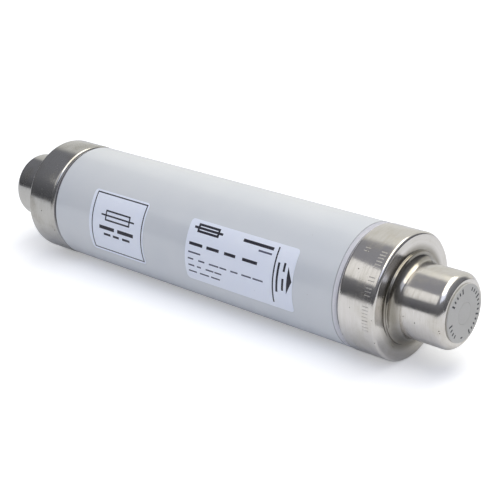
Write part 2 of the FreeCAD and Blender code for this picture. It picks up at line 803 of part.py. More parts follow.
def make_end_disc():
    """Grey marking disc in the end of the contact, with a scored centre."""
    body = new_body("end_disc")
    turn(body, "disc", [
        ("disc_seat", "patch_radius + patch_gap"),
        ("disc_seat", "disc_radius"),
        ("contact_end", "disc_radius"),
        ("contact_end", "patch_radius + patch_gap"),
    ])
    return body


def make_disc_patch():
    """Centre of the disc, which leaves with the pin."""
    patch = document.addObject("Part::Cylinder", "disc_patch")
    bind(patch, "Radius", "patch_radius")
    bind(patch, "Height", "disc_thickness")
    patch.Placement = FreeCAD.Placement(FreeCAD.Vector(0, 0, 0),
                                        FreeCAD.Rotation(FreeCAD.Vector(0, 1, 0), 90))
    bind(patch, "Placement.Base.x", "disc_seat")
    return patch


def make_label(name):
    """Thin film on the side of the barrel, with rounded corners."""
    body = new_body(name)
    start = name + "_start"
    end = start + " + " + name + "_length"
    film = turn(body, "film", [
        (start, "label_inside"),
        (start, "label_outside"),
        (end, "label_outside"),
        (end, "label_inside"),
    ], name + "_angle")
    document.recompute()
    through = measure("label_thickness")
    names = ["Edge%d" % number for number, edge in enumerate(film.Shape.Edges, 1)
             if abs(edge.Length - through) < SAME]
    corner = body.newObject("PartDesign::Fillet", "corners")
    corner.Base = (film, names)
    bind(corner, "Radius", "label_corner")
    body.Placement = FreeCAD.Placement(FreeCAD.Vector(0, 0, 0),
                                       FreeCAD.Rotation(FreeCAD.Vector(1, 0, 0), 0))
    bind(body, "Placement.Rotation.Angle", "90 - %s_top_angle" % name)
    return body


def make_parts():
    """Every sub-part of the fuse."""
    parts = [
        make_barrel(),
        make_end_cap("striker_end_cap", True),
        make_end_cap("plain_end_cap", False),
        make_inner_cap("striker_inner_cap", True),
        make_inner_cap("plain_inner_cap", False),
        make_gasket("striker_end_gasket", True),
        make_gasket("plain_end_gasket", False),
        make_filling_plug(),
        make_terminal("striker_terminal", "striker_core_face", True),
        make_terminal("plain_terminal", "plain_core_face", False),
        make_star_core(),
        make_tin_spots(),
        make_quartz_filler(),
        make_trip_wire(),
        make_wire_anchor(),
        make_striker_housing(),
        make_striker_base(),
        make_striker_pin(),
        make_striker_spring(),
        make_end_disc(),
        make_disc_patch(),
        make_label("rating_label"),
        make_label("range_label"),
    ]
    return parts + make_fuse_elements()


def check_document(parts):
    """Stop if any object failed or any sub-part is not a sound solid."""
    for thing in document.Objects:
        if "Invalid" in thing.State or "Error" in thing.State:
            raise RuntimeError("%s failed: %s" % (thing.Name, thing.State))
    for piece in parts:
        shape = piece.Shape
        if shape.isNull() or not shape.isValid() or not shape.Solids:
            raise RuntimeError("%s is not a valid solid" % piece.Label)


def write_parts(parts):
    """Write each sub-part under its own name."""
    os.makedirs("parts", exist_ok=True)
    for piece in parts:
        piece.Shape.exportStep(os.path.join("parts", piece.Label + ".step"))
        print(piece.Label, len(piece.Shape.Solids), round(piece.Shape.Volume, 1))


fill_sheet()
fuse_parts = make_parts()
document.recompute()
check_document(fuse_parts)
write_parts(fuse_parts)
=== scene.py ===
"""Looks of a medium voltage fuse link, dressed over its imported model.

The axis of the fuse is X with the striker end at +X, +Z is up and the labels face -Y.
Sizes of the fuse are millimetres and angles are degrees, and METRE turns a size into the
scene's metres. The studio is given in metres. An angle round the axis is counted from -Y
towards +Z.
"""

import logging
import math
from collections.abc import Sequence
from dataclasses import dataclass
from enum import Enum

import bpy
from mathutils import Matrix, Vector


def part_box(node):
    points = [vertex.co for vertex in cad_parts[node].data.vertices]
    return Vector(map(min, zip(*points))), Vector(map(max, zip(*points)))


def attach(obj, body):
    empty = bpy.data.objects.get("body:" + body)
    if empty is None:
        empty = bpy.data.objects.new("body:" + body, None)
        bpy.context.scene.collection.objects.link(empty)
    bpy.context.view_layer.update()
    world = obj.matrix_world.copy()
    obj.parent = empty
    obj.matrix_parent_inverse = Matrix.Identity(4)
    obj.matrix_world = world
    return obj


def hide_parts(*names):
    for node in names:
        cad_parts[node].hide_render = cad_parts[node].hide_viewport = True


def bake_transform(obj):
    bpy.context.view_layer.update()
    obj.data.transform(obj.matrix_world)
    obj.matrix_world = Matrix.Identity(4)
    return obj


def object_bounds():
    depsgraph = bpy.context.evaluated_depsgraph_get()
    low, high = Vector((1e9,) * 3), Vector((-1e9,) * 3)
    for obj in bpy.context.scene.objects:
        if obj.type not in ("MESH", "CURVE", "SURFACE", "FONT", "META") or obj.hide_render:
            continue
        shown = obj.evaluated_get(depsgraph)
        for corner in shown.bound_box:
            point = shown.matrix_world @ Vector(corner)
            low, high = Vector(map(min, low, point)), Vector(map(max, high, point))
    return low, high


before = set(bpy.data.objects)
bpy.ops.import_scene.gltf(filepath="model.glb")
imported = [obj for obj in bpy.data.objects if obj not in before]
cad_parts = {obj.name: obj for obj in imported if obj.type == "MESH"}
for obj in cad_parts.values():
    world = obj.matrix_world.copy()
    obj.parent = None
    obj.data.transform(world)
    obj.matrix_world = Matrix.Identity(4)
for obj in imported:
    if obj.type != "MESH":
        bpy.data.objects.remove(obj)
CAD_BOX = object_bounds()

METRE = 0.001
SEGMENTS = 192
ARC_STEP = 9.0
SHARP_EDGE = 28.0
BAR_POINTS = 9
LINE_POINTS = 61
WELD = 0.001

BARREL_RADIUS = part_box("barrel")[1].z / METRE
FILM_LIFT = 0.05
FILM_THICKNESS = 0.12
INK_THICKNESS = 0.02
PRINT_RADIUS = BARREL_RADIUS + FILM_LIFT + FILM_THICKNESS + INK_THICKNESS / 2

# Sockets of the Mix node when it mixes colours, and of Random Value when it draws a number
MIX_FIRST = 6
MIX_SECOND = 7
MIX_RESULT = 2
RANDOM_LOW = 2
RANDOM_HIGH = 3
RANDOM_RESULT = 1

NUMBER = "NodeSocketFloat"
COUNT = "NodeSocketInt"
SHAPE = "NodeSocketGeometry"
FINISH = "NodeSocketMaterial"

Colour = tuple[float, float, float, float]
Screen = tuple[int, int, int]
Point = tuple[float, float, float]
Span = tuple[float, float]
WHITE = (1.0, 1.0, 1.0, 1.0)

# Ranges of a noise over which it tints the colour and roughens the surface
TINT_SPAN = (0.35, 0.65)
ROUGH_SPAN = (0.3, 0.7)

log = logging.getLogger("fuse")


def srgb(screen: Screen) -> Colour:
    """Turn a colour as a screen shows it into the shader's linear values.

    Args:
        screen: red, green and blue, 0 to 255.

    Returns:
        The linear colour, opaque.
    """
    linear = []
    for byte in screen:
        share = byte / 255
        linear.append(share / 12.92 if share <= 0.04045 else ((share + 0.055) / 1.055) ** 2.4)
    return (linear[0], linear[1], linear[2], 1.0)


def darker(colour: Colour, share: float) -> Colour:
    """A share of a colour."""
    return (share * colour[0], share * colour[1], share * colour[2], 1.0)


def on_cylinder(along: float, reach: float, angle: float) -> Vector:
    """Point beside the axis in metres, from millimetres and an angle in radians."""
    return Vector((along, -reach * math.cos(angle), reach * math.sin(angle))) * METRE


class End(Enum):
    """The two ends of the fuse, each with its direction along X."""

    STRIKER = 1
    PLAIN = -1


class Body(Enum):
    """The bodies that pieces ride on."""

    LINK = "fuse_link"
    STRIKER = "striker"


class Effect(Enum):
    """The shader groups that several finishes share."""

    LINES = "turning_lines"
    SCRATCHES = "scratches"
    SPECKS = "specks"
    PATCHES = "patches"


class Reading:
    """An output socket that takes part in sums. Each sum adds one Math node."""

    def __init__(self, graph: "Graph", socket: bpy.types.NodeSocket) -> None:
        """Read this socket of the graph."""
        self.graph = graph
        self.socket = socket

    def __add__(self, other: "Value") -> "Reading":
        """Sum."""
        return self.graph.calc("ADD", self, other)

    def __sub__(self, other: "Value") -> "Reading":
        """Difference."""
        return self.graph.calc("SUBTRACT", self, other)

    def __rsub__(self, other: float) -> "Reading":
        """What is left of a number."""
        return self.graph.calc("SUBTRACT", other, self)

    def __mul__(self, other: "Value") -> "Reading":
        """Product."""
        return self.graph.calc("MULTIPLY", self, other)

    def __truediv__(self, other: "Value") -> "Reading":
        """Quotient."""
        return self.graph.calc("DIVIDE", self, other)


Value = float | int | bool | tuple | Reading | bpy.types.Node


class Graph:
    """Adds nodes to one tree and links them."""

    def __init__(self, tree: bpy.types.NodeTree) -> None:
        """Work on this tree."""
        self.tree = tree

    def add(self, kind: str, inputs: dict | None = None, **settings: object) -> bpy.types.Node:
        """Add one node.

        Args:
            kind: Blender's name of the node type.
            inputs: values or readings, by the input's name or number.
            settings: the node's own options.

        Returns:
            The new node.
        """
        node = self.tree.nodes.new(kind)
        for name, value in settings.items():
            setattr(node, name, value)
        for key, value in (inputs or {}).items():
            self.feed(node.inputs[key], value)
        return node

    def read(self, kind: str, inputs: dict | None = None, output: int | str = 0,
             **settings: object) -> Reading:
        """Add one node as add does, and read one of its outputs."""
        return Reading(self, self.add(kind, inputs, **settings).outputs[output])

    def feed(self, socket: bpy.types.NodeSocket, value: Value) -> None:
        """Link an output to an input, or set the input to a value.

        Args:
            socket: the input.
            value: a reading, a node whose first output counts, or a plain value.
        """
        if isinstance(value, Reading):
            self.tree.links.new(value.socket, socket)
        elif isinstance(value, bpy.types.Node):
            self.tree.links.new(value.outputs[0], socket)
        else:
            socket.default_value = value

    def calc(self, operation: str, *values: Value) -> Reading:
        """Do one sum on numbers."""
        return self.read("ShaderNodeMath", dict(enumerate(values)), operation=operation)

    def ramp(self, value: Value, low: Value, high: Value, to_low: float = 0.0,
             to_high: float = 1.0, smooth: bool = False) -> Reading:
        """Map a range of a value onto another range.

        Args:
            value: the number to map.
            low: start of the range that is read.
            high: end of the range that is read.
            to_low: what low becomes.
            to_high: what high becomes.
            smooth: ease both ends.

        Returns:
            The mapped value.
        """
        limits = {"Value": value, "From Min": low, "From Max": high, "To Min": to_low,
                  "To Max": to_high}
        kind = "SMOOTHSTEP" if smooth else "LINEAR"
        return self.read("ShaderNodeMapRange", limits, "Result", interpolation_type=kind)

    def mix(self, share: Value, first: Value, second: Value) -> Reading:
        """Mix two colours."""
        inputs = {0: share, MIX_FIRST: first, MIX_SECOND: second}
        return self.read("ShaderNodeMix", inputs, MIX_RESULT, data_type="RGBA")

    def join(self, x: Value, y: Value, z: Value) -> Reading:
        """Make a vector of three numbers."""
        return self.read("ShaderNodeCombineXYZ", {0: x, 1: y, 2: z})

    def split(self, vector: Value) -> list[Reading]:
        """The three numbers of a vector."""
        node = self.add("ShaderNodeSeparateXYZ", {0: vector})
        return [Reading(self, socket) for socket in node.outputs]

    def length(self, vector: Value) -> Reading:
        """Length of a vector."""
        return self.read("ShaderNodeVectorMath", {0: vector}, "Value", operation="LENGTH")

    def polar(self, along: Value, reach: Reading, angle: Reading) -> Reading:
        """Point at some distance from the axis and at some angle round it."""
        return self.join(along, reach * -1 * self.calc("COSINE", angle),
                         reach * self.calc("SINE", angle))

    def spot(self) -> Reading:
        """The shaded point, in the piece's own frame."""
        return self.read("ShaderNodeTexCoord", output="Object")

    def ray(self, kind: str) -> Reading:
        """Whether the ray that looks is of this kind."""
        return self.read("ShaderNodeLightPath", output="Is %s Ray" % kind)


class Group:
    """A node group with named inputs and outputs."""

    def __init__(self, name: str, kind: str, inputs: dict[str, float | int | str],
                 outputs: dict[str, str]) -> None:
        """Make an empty group.

        Args:
            name: what the group is called.
            kind: the type of its tree.
            inputs: by name, the default of a number or count, or a socket type.
            outputs: by name, a socket type.
        """
        self.tree = bpy.data.node_groups.new(name, kind)
        self.keys = {}
        for port, default in inputs.items():
            socket = {float: NUMBER, int: COUNT}.get(type(default), default)
            item = self.tree.interface.new_socket(name=port, in_out="INPUT", socket_type=socket)
            if socket != default:
                item.default_value = default
            self.keys[port] = item.identifier
        for port, socket in outputs.items():
            self.tree.interface.new_socket(name=port, in_out="OUTPUT", socket_type=socket)
        self.graph = Graph(self.tree)
        source = self.graph.add("NodeGroupInput").outputs
        self.given = {port: Reading(self.graph, source[port]) for port in inputs}
        self.result = self.graph.add("NodeGroupOutput").inputs

    def give(self, name: str, value: Value) -> None:
        """Send a value to one output."""
        self.graph.feed(self.result[name], value)


class EffectGroup(Group):
    """A shader group that puts out masks."""

    def __init__(self, effect: Effect, inputs: dict[str, float], *outputs: str) -> None:
        """Make the empty group of an effect."""
        super().__init__(effect.value, "ShaderNodeTree", inputs, dict.fromkeys(outputs, NUMBER))


class Effects:
    """The shared shader groups. Each is built once."""

    def __init__(self) -> None:
        """Build the groups."""
        groups = (self.turning_lines(), self.scratches(), self.specks(), self.patches())
        self.trees = {Effect(group.tree.name): group.tree for group in groups}

    @staticmethod
    def turning_lines() -> EffectGroup:
        """Fine lines round the axis, as polishing on a lathe leaves them.

        Returns:
            The group, whose Lines are a noise round 0.5.
        """
        group = EffectGroup(Effect.LINES, {"Density": 900.0, "Drag": 3.0}, "Lines")
        graph = group.graph
        density, drag = group.given["Density"], group.given["Drag"]
        along, across, up = graph.split(graph.spot())
        out = graph.calc("MAXIMUM", graph.calc("SQRT", across * across + up * up), METRE)
        vector = graph.join(along * density, across / out * drag, up / out * drag)
        inputs = {"Vector": vector, "W": out * density, "Scale": 1.0, "Detail": 3.0,
                  "Roughness": 0.6}
        group.give("Lines", graph.read("ShaderNodeTexNoise", inputs, noise_dimensions="4D"))
        return group

    @staticmethod
    def scratches() -> EffectGroup:
        """Thin straight scratches in two directions, only here and there.

        Returns:
            The group, whose Mask is Share in a scratch.
        """
        group = EffectGroup(Effect.SCRATCHES, {"Scale": 60.0, "Share": 0.3}, "Mask")
        graph = group.graph
        width = 0.02
        few = (0.62, 0.70)
        place = graph.spot()
        masks = []
        for turn, stretch in ((0.7, 14.0), (2.1, 18.0)):
            turned = graph.read("ShaderNodeMapping",
                                {"Vector": place, "Rotation": (turn, turn / 2, turn),
                                 "Scale": (1.0, stretch, stretch)})
            edge = graph.read("ShaderNodeTexVoronoi",
                              {"Vector": turned, "Scale": group.given["Scale"]}, "Distance",
                              feature="DISTANCE_TO_EDGE")
            where = graph.read("ShaderNodeTexNoise", {"Vector": turned, "Scale": 22.0})
            masks.append(graph.ramp(edge, 0.0, width, 1.0, 0.0) * graph.ramp(where, *few))
        group.give("Mask", graph.calc("MAXIMUM", *masks) * group.given["Share"])
        return group

    @staticmethod
    def specks() -> EffectGroup:
        """Small dark specks: one in some cells of a fine cell pattern.

        Returns:
            The group, whose Mask is 1 in a speck.
        """
        group = EffectGroup(Effect.SPECKS, {"Scale": 400.0, "Size": 0.2, "Share": 0.1}, "Mask")
        graph, given = group.graph, group.given
        soft_edge = 0.06
        cells = graph.add("ShaderNodeTexVoronoi", {"Vector": graph.spot(), "Scale": given["Scale"]})
        chance = graph.split(Reading(graph, cells.outputs["Color"]))[0]
        chosen = graph.calc("LESS_THAN", chance, given["Share"])
        inside = given["Size"] - Reading(graph, cells.outputs["Distance"])
        group.give("Mask", graph.ramp(inside, 0.0, soft_edge) * chosen)
        return group

    @staticmethod
    def patches() -> EffectGroup:
        """Large soft patches, for stains and for the swell of pressed sheet.

        Returns:
            The group, whose Mask is 1 in a patch and whose Swell is a plain noise.
        """
        group = EffectGroup(Effect.PATCHES, {"Scale": 30.0, "Low": 0.45, "High": 0.7}, "Mask",
                            "Swell")
        graph, given = group.graph, group.given
        place = graph.spot()
        cloud, swell = (graph.read("ShaderNodeTexNoise",
                                   {"Vector": place, "Scale": given["Scale"], "Detail": detail})
                        for detail in (4.0, 0.0))
        group.give("Mask", graph.ramp(cloud, given["Low"], given["High"], smooth=True))
        group.give("Swell", swell)
        return group


def empty_graph(owner: bpy.types.Material | bpy.types.World) -> Graph:
    """Give a material or a world an empty node tree.

    Args:
        owner: the material or the world.

    Returns:
        The graph of its tree.
    """
    owner.use_nodes = True
    owner.node_tree.nodes.clear()
    return Graph(owner.node_tree)


class Dresser:
    """One material in the making: its graph, its shader and its relief."""

    def __init__(self, name: str, effects: Effects) -> None:
        """Make a material with one shader.

        Args:
            name: what the material is called.
            effects: the shared groups that it may place.
        """
        self.material = bpy.data.materials.new(name)
        self.graph = empty_graph(self.material)
        self.effects = effects
        self.shader = self.graph.add("ShaderNodeBsdfPrincipled")
        self.graph.add("ShaderNodeOutputMaterial", {"Surface": self.shader})

    def place(self, effect: Effect, output: str = "Mask", **inputs: Value) -> Reading:
        """Place a shared group with its own values, and read one of its outputs."""
        return self.graph.read("ShaderNodeGroup", inputs, output,
                               node_tree=self.effects.trees[effect])

    def far(self) -> Reading:
        """Distance from the middle of the fuse along its axis, in millimetres."""
        return self.graph.calc("ABSOLUTE", self.graph.split(self.graph.spot())[0]) / METRE

    def set(self, **values: Value) -> None:
        """Set or link the shader's sockets, with _ for each blank in a name."""
        for name, value in values.items():
            self.graph.feed(self.shader.inputs[name.replace("_", " ")], value)

    def relief(self, *parts: tuple[Reading, float]) -> None:
        """Add a bump.

        Args:
            parts: readings, each with its height in millimetres where it is 1.
        """
        value, height = parts[0]
        total = value * height
        for value, height in parts[1:]:
            total = total + value * height
        self.set(Normal=self.graph.add("ShaderNodeBump", {"Distance": METRE, "Height": total}))


@dataclass(frozen=True)
class Finish:
    """What every finish has: a name, two colours as a screen shows them and a roughness."""

    name: str
    colour: Screen
    accent: Screen
    roughness: float


@dataclass(frozen=True)
class WornFinish(Finish):
    """A finish with patches, a fine noise and specks, all in shades of its accent."""

    patch_share: float = 0.35
    noise_tint: float = 0.22
    speck_share: float = 0.05
    speck_tint: float = 0.8
    speck_shade: float = 0.35

    def body(self, graph: Graph, patch: Reading, noise: Reading, speck: Reading) -> Reading:
        """The colour under its wear.

        Args:
            graph: of the material.
            patch: mask of the large patches.
            noise: the fine noise.
            speck: mask of the specks.

        Returns:
            The colour.
        """
        accent = srgb(self.accent)
        body = graph.mix(patch * self.patch_share, srgb(self.colour), accent)
        body = graph.mix(graph.ramp(noise, *TINT_SPAN, 0.0, self.noise_tint), body, accent)
        return graph.mix(speck * self.speck_tint, body, darker(accent, self.speck_shade))


@dataclass(frozen=True)
class MetalFinish(WornFinish):
    """Plated, polished or brushed metal with turning lines. The accent is its stain."""

    rough_spread: float = 0.10
    line_density: float = 1100.0
    line_height: float = 0.0004
    swell_scale: float = 34.0
    swell_height: float = 0.05
    fine_speck_strength: float = 0.35
    speck_roughness: float = 0.3
    speck_height: float = -0.004
    scratch_share: float = 0.5
    scratch_roughness: float = 0.2
    scratch_height: float = -0.002
    # Painted shade: the colour is darkened in the corner at the root of the contact, standing in
    # for the shade that falls there.
    corner_shade: float = 0.0
    corner_shade_rise: Span = (145.0, 145.8)
    corner_shade_fall: Span = (149.0, 155.0)
    corner_shade_reach: Span = (28.0, 33.0)
    corner_shade_least: float = 0.55
    corner_shade_colour: Screen = (110, 105, 92)

    def painted_corner_shade_mask(self, dresser: Dresser) -> Reading:
        """Painted shade in the corner between the face and the contact.

        Args:
            dresser: the material in the making.

        Returns:
            The mask, 1 where the painted shade is darkest.
        """
        graph = dresser.graph
        _, across, up = graph.split(graph.spot())
        out = graph.length(graph.join(0.0, across, up)) / METRE
        near_axis = graph.ramp(out, *self.corner_shade_reach, 1.0, 0.0, smooth=True)
        far = dresser.far()
        rising = graph.ramp(far, *self.corner_shade_rise)
        falling = graph.ramp(far, *self.corner_shade_fall, 1.0, 0.0, smooth=True)
        patch = dresser.place(Effect.PATCHES, Scale=60.0, Low=0.25, High=0.6)
        # How dark the painted shade is, in patches.
        thickness = patch * (1 - self.corner_shade_least) + self.corner_shade_least
        return rising * falling * near_axis * thickness

    def build(self, effects: Effects) -> bpy.types.Material:
        """Make the material.

        Args:
            effects: the shared groups.

        Returns:
            The material.
        """
        dresser = Dresser(self.name, effects)
        graph = dresser.graph
        lines = dresser.place(Effect.LINES, "Lines", Density=self.line_density)
        scratch = dresser.place(Effect.SCRATCHES, Share=self.scratch_share)
        large = dresser.place(Effect.SPECKS, Share=self.speck_share)
        fine = dresser.place(Effect.SPECKS, Scale=1100.0, Size=0.22, Share=0.10)
        speck = graph.calc("MAXIMUM", large, fine * self.fine_speck_strength)
        patch = dresser.place(Effect.PATCHES, Scale=self.swell_scale * 2)
        swell = dresser.place(Effect.PATCHES, "Swell", Scale=self.swell_scale)
        body = self.body(graph, patch, lines, speck)
        # Paint the corner shade at the contact's root into the colour.
        if self.corner_shade > 0.0:
            body = graph.mix(self.painted_corner_shade_mask(dresser) * self.corner_shade, body,
                             srgb(self.corner_shade_colour))
        spread = self.rough_spread
        rough = graph.ramp(lines, *ROUGH_SPAN, self.roughness, self.roughness + spread)
        rough = rough + patch * spread + scratch * self.scratch_roughness
        dresser.set(Metallic=1.0, Base_Color=body,
                    Roughness=rough + speck * self.speck_roughness)
        dresser.relief((lines, self.line_height), (swell, self.swell_height),
                       (scratch, self.scratch_height), (speck, self.speck_height))
        return dresser.material


@dataclass(frozen=True)
class GlazeFinish(Finish):
    """Glazed ceramic: a soft two-tone body under a smooth clear glaze, ground at its ends. The
    ground flank is painted lighter as painted light, the crimp groove painted darker as painted
    shade, and a darker line is painted along the glaze's edge.
    """

    rough_spread: float = 0.06
    coat: float = 0.50
    coat_roughness: float = 0.08
    iron: Screen = (128, 116, 96)
    # Painted light: the ground flank's colour is lifted as if lit by the side lamps. Painted shade:
    # the crimp groove's colour is darkened as if shaded by the cap's lip.
    ground_and_light: Screen = (240, 240, 246)
    groove_shade: Screen = (128, 128, 134)
    edge: Screen = (104, 104, 108)
    ground_and_light_start: float = 117.75
    ground_and_light_blend: float = 0.15
    groove_start: float = 119.1
    groove_shade_blend: float = 0.2
    edge_line: float = 117.55
    edge_width: float = 0.35
    edge_share: float = 0.55
    peel_height: float = 0.004
    swell_height: float = 0.03
    speck_share: float = 0.018
    speck_tint: float = 0.45
    speck_height: float = -0.006

    def build(self, effects: Effects) -> bpy.types.Material:
        """Make the material.

        Args:
            effects: the shared groups.

        Returns:
            The material.
        """
        dresser = Dresser(self.name, effects)
        graph = dresser.graph
        cloud = dresser.place(Effect.PATCHES, Scale=16.0, Low=0.3, High=0.75)
        smear = dresser.place(Effect.PATCHES, Scale=55.0, Low=0.4, High=0.8)
        peel = dresser.place(Effect.PATCHES, "Swell", Scale=210.0)
        swell = dresser.place(Effect.PATCHES, "Swell", Scale=28.0)
        speck = dresser.place(Effect.SPECKS, Scale=330.0, Size=0.10, Share=self.speck_share)
        body = graph.mix(cloud, srgb(self.colour), srgb(self.accent))
        body = graph.mix(speck * self.speck_tint, body, srgb(self.iron))
        far = dresser.far()
        # Paint light onto the ground flank and shade into the crimp groove.
        for start, blend, colour in ((self.ground_and_light_start, self.ground_and_light_blend, self.ground_and_light),
                                     (self.groove_start, self.groove_shade_blend, self.groove_shade)):
            body = graph.mix(graph.ramp(far, start, start + blend), body, srgb(colour))
        # A darker line painted along the edge of the glaze.
        off_line = graph.calc("ABSOLUTE", far - self.edge_line)
        on_line = graph.ramp(off_line, self.edge_width / 2, self.edge_width, self.edge_share, 0.0)
        rough = graph.ramp(smear, 0.0, 1.0, self.roughness, self.roughness + self.rough_spread)
        dresser.set(Base_Color=graph.mix(on_line, body, srgb(self.edge)), Roughness=rough,
                    Coat_Weight=self.coat, Coat_Roughness=self.coat_roughness)
        dresser.relief((peel, self.peel_height), (swell, self.swell_height),
                       (speck, self.speck_height))
        return dresser.material


@dataclass(frozen=True)
class FilmFinish(WornFinish):
    """Printed film or paint: an even colour with a fine tooth. The accent is its smudges."""

    patch_share: float = 0.5
    noise_tint: float = 0.12
    speck_share: float = 0.02
    speck_tint: float = 0.6
    speck_shade: float = 0.4
    rough_spread: float = 0.1
    tooth_scale: float = 900.0
    tooth_height: float = 0.002

    def build(self, effects: Effects) -> bpy.types.Material:
        """Make the material.

        Args:
            effects: the shared groups.

        Returns:
            The material.
        """
        dresser = Dresser(self.name, effects)
        graph = dresser.graph
        patch = dresser.place(Effect.PATCHES, Scale=45.0, Low=0.4, High=0.75)
        tooth = dresser.place(Effect.PATCHES, "Swell", Scale=self.tooth_scale)
        speck = dresser.place(Effect.SPECKS, Share=self.speck_share, Size=0.12)
        rough = graph.ramp(tooth, *ROUGH_SPAN, self.roughness, self.roughness + self.rough_spread)
        dresser.set(Base_Color=self.body(graph, patch, tooth, speck), Roughness=rough)
        dresser.relief((tooth, self.tooth_height))
        return dresser.material


@dataclass(frozen=True)
class GrainFinish(Finish):
    """Unglazed mineral or moulded stuff: packed grains. The accent is their second tone."""

    grain_scale: float = 1500.0
    grain_height: float = 0.01
    grain_tint: float = 0.7
    patch_tint: float = 0.25
    rough_spread: float = 0.08

    def build(self, effects: Effects) -> bpy.types.Material:
        """Make the material.

        Args:
            effects: the shared groups.

        Returns:
            The material.
        """
        dresser = Dresser(self.name, effects)
        graph = dresser.graph
        second = srgb(self.accent)
        cells = graph.add("ShaderNodeTexVoronoi",
                          {"Vector": graph.spot(), "Scale": self.grain_scale})
        tone = graph.split(Reading(graph, cells.outputs["Color"]))[1]
        patch = dresser.place(Effect.PATCHES, Scale=70.0, Low=0.3, High=0.8)
        body = graph.mix(tone * self.grain_tint, srgb(self.colour), second)
        body = graph.mix(patch * self.patch_tint, body, second)
        rough = graph.ramp(tone, 0.0, 1.0, self.roughness - self.rough_spread, self.roughness)
        dresser.set(Base_Color=body, Roughness=rough)
        dresser.relief((Reading(graph, cells.outputs["Distance"]), -self.grain_height))
        return dresser.material


class Look(Enum):
    """The finishes of the fuse."""

    PORCELAIN = GlazeFinish("glazed_porcelain", (218, 221, 223), (211, 215, 219), 0.32)
    PLATED_CAP = MetalFinish("plated_cap", (217, 214, 210), (184, 178, 162), 0.10, corner_shade=0.75)
    TARNISHED_CAP = MetalFinish("tarnished_cap", (189, 188, 185), (156, 152, 142), 0.12,
                                patch_share=0.5, corner_shade=0.75)
    PLATED_SHEET = MetalFinish("plated_sheet", (200, 199, 195), (165, 158, 140), 0.25)
    MARKING_DISC = FilmFinish("marking_disc", (205, 203, 197), (194, 192, 185), 0.42)
    LABEL_FILM = FilmFinish("label_film", (240, 245, 255), (234, 240, 255), 0.34,
                            tooth_height=0.001)
    LABEL_INK = FilmFinish("label_ink", (28, 28, 40), (52, 52, 66), 0.45, tooth_height=0.001)
    SMALL_PRINT = FilmFinish("small_print", (74, 76, 96), (100, 102, 122), 0.45,
                             tooth_height=0.001)
    DISC_INK = FilmFinish("disc_ink", (46, 46, 48), (86, 86, 88), 0.5)
    STAMPED_METAL = MetalFinish("stamped_metal", (206, 204, 200), (150, 146, 138), 0.55)
    PIN_STEEL = MetalFinish("pin_steel", (205, 205, 203), (160, 156, 146), 0.18)
    SPRING_STEEL = MetalFinish("spring_steel", (150, 152, 156), (110, 104, 96), 0.28)
    WIRE_STEEL = MetalFinish("wire_steel", (170, 170, 172), (130, 126, 120), 0.25)
    COPPER = MetalFinish("terminal_copper", (222, 150, 112), (150, 86, 58), 0.24)
    BRASS = MetalFinish("striker_brass", (216, 186, 112), (160, 128, 66), 0.22)
    SILVER = MetalFinish("silver", (238, 236, 230), (196, 186, 168), 0.22)
    TIN = MetalFinish("tin", (196, 196, 194), (150, 150, 148), 0.38)
    STEATITE = GrainFinish("steatite", (236, 230, 214), (220, 210, 190), 0.72,
                           grain_scale=1400.0)
    SAND = GrainFinish("quartz_sand", (226, 212, 182), (172, 150, 116), 0.85,
                       grain_height=0.12)
    GASKET = GrainFinish("gasket", (58, 58, 62), (84, 84, 88), 0.82, grain_scale=1800.0,
                         grain_height=0.02)


@dataclass(frozen=True)
class Corner:
    """A corner of a turned outline, rounded where it has a radius."""

    along: float
    out: float
    rounding: float = 0.0


def rounded_outline(corners: Sequence[Corner]) -> list[Vector]:
    """Points of a closed outline whose rounded corners are arcs.

    Args:
        corners: the corners in order, out along +X on the outside of the piece.

    Returns:
        Points (along, out), the first one repeated at the end.
    """
    points = []
    spots = [Vector((corner.along, corner.out)) for corner in corners]
    for number, corner in enumerate(corners):
        here = spots[number]
        if corner.rounding == 0.0:
            points.append(here)
            continue
        before = (spots[number - 1] - here).normalized()
        after = (spots[(number + 1) % len(spots)] - here).normalized()
        opening = before.angle(after)
        reach = corner.rounding / math.tan(opening / 2)
        centre = here + (before + after).normalized() * corner.rounding / math.sin(opening / 2)
        first = here + before * reach - centre
        final = here + after * reach - centre
        turn = math.pi - opening
        steps = max(2, math.ceil(math.degrees(turn) / ARC_STEP))
        for step in range(steps + 1):
            share = step / steps
            spoke = first * math.sin((1 - share) * turn) + final * math.sin(share * turn)
            points.append(centre + spoke / math.sin(turn))
    return points + [points[0]]


def mirrored(corners: Sequence[Corner], end: End) -> list[Corner]:
    """The same outline for the given end, still in the order of its outside.

    Args:
        corners: the corners for the striker end.
        end: which end they are wanted for.

    Returns:
        The corners for that end.
    """
    if end is End.STRIKER:
        return list(corners)
    return [Corner(-corner.along, corner.out, corner.rounding) for corner in reversed(corners)]


@dataclass(frozen=True)
class Row:
    """One row of plain bars on a cylinder."""

    start: float
    angle: float
    length: float
    height: float
    count: int = 1
    fill: float = 1.0
    unevenness: float = 0.0
    upright: bool = False
    fine: bool = False


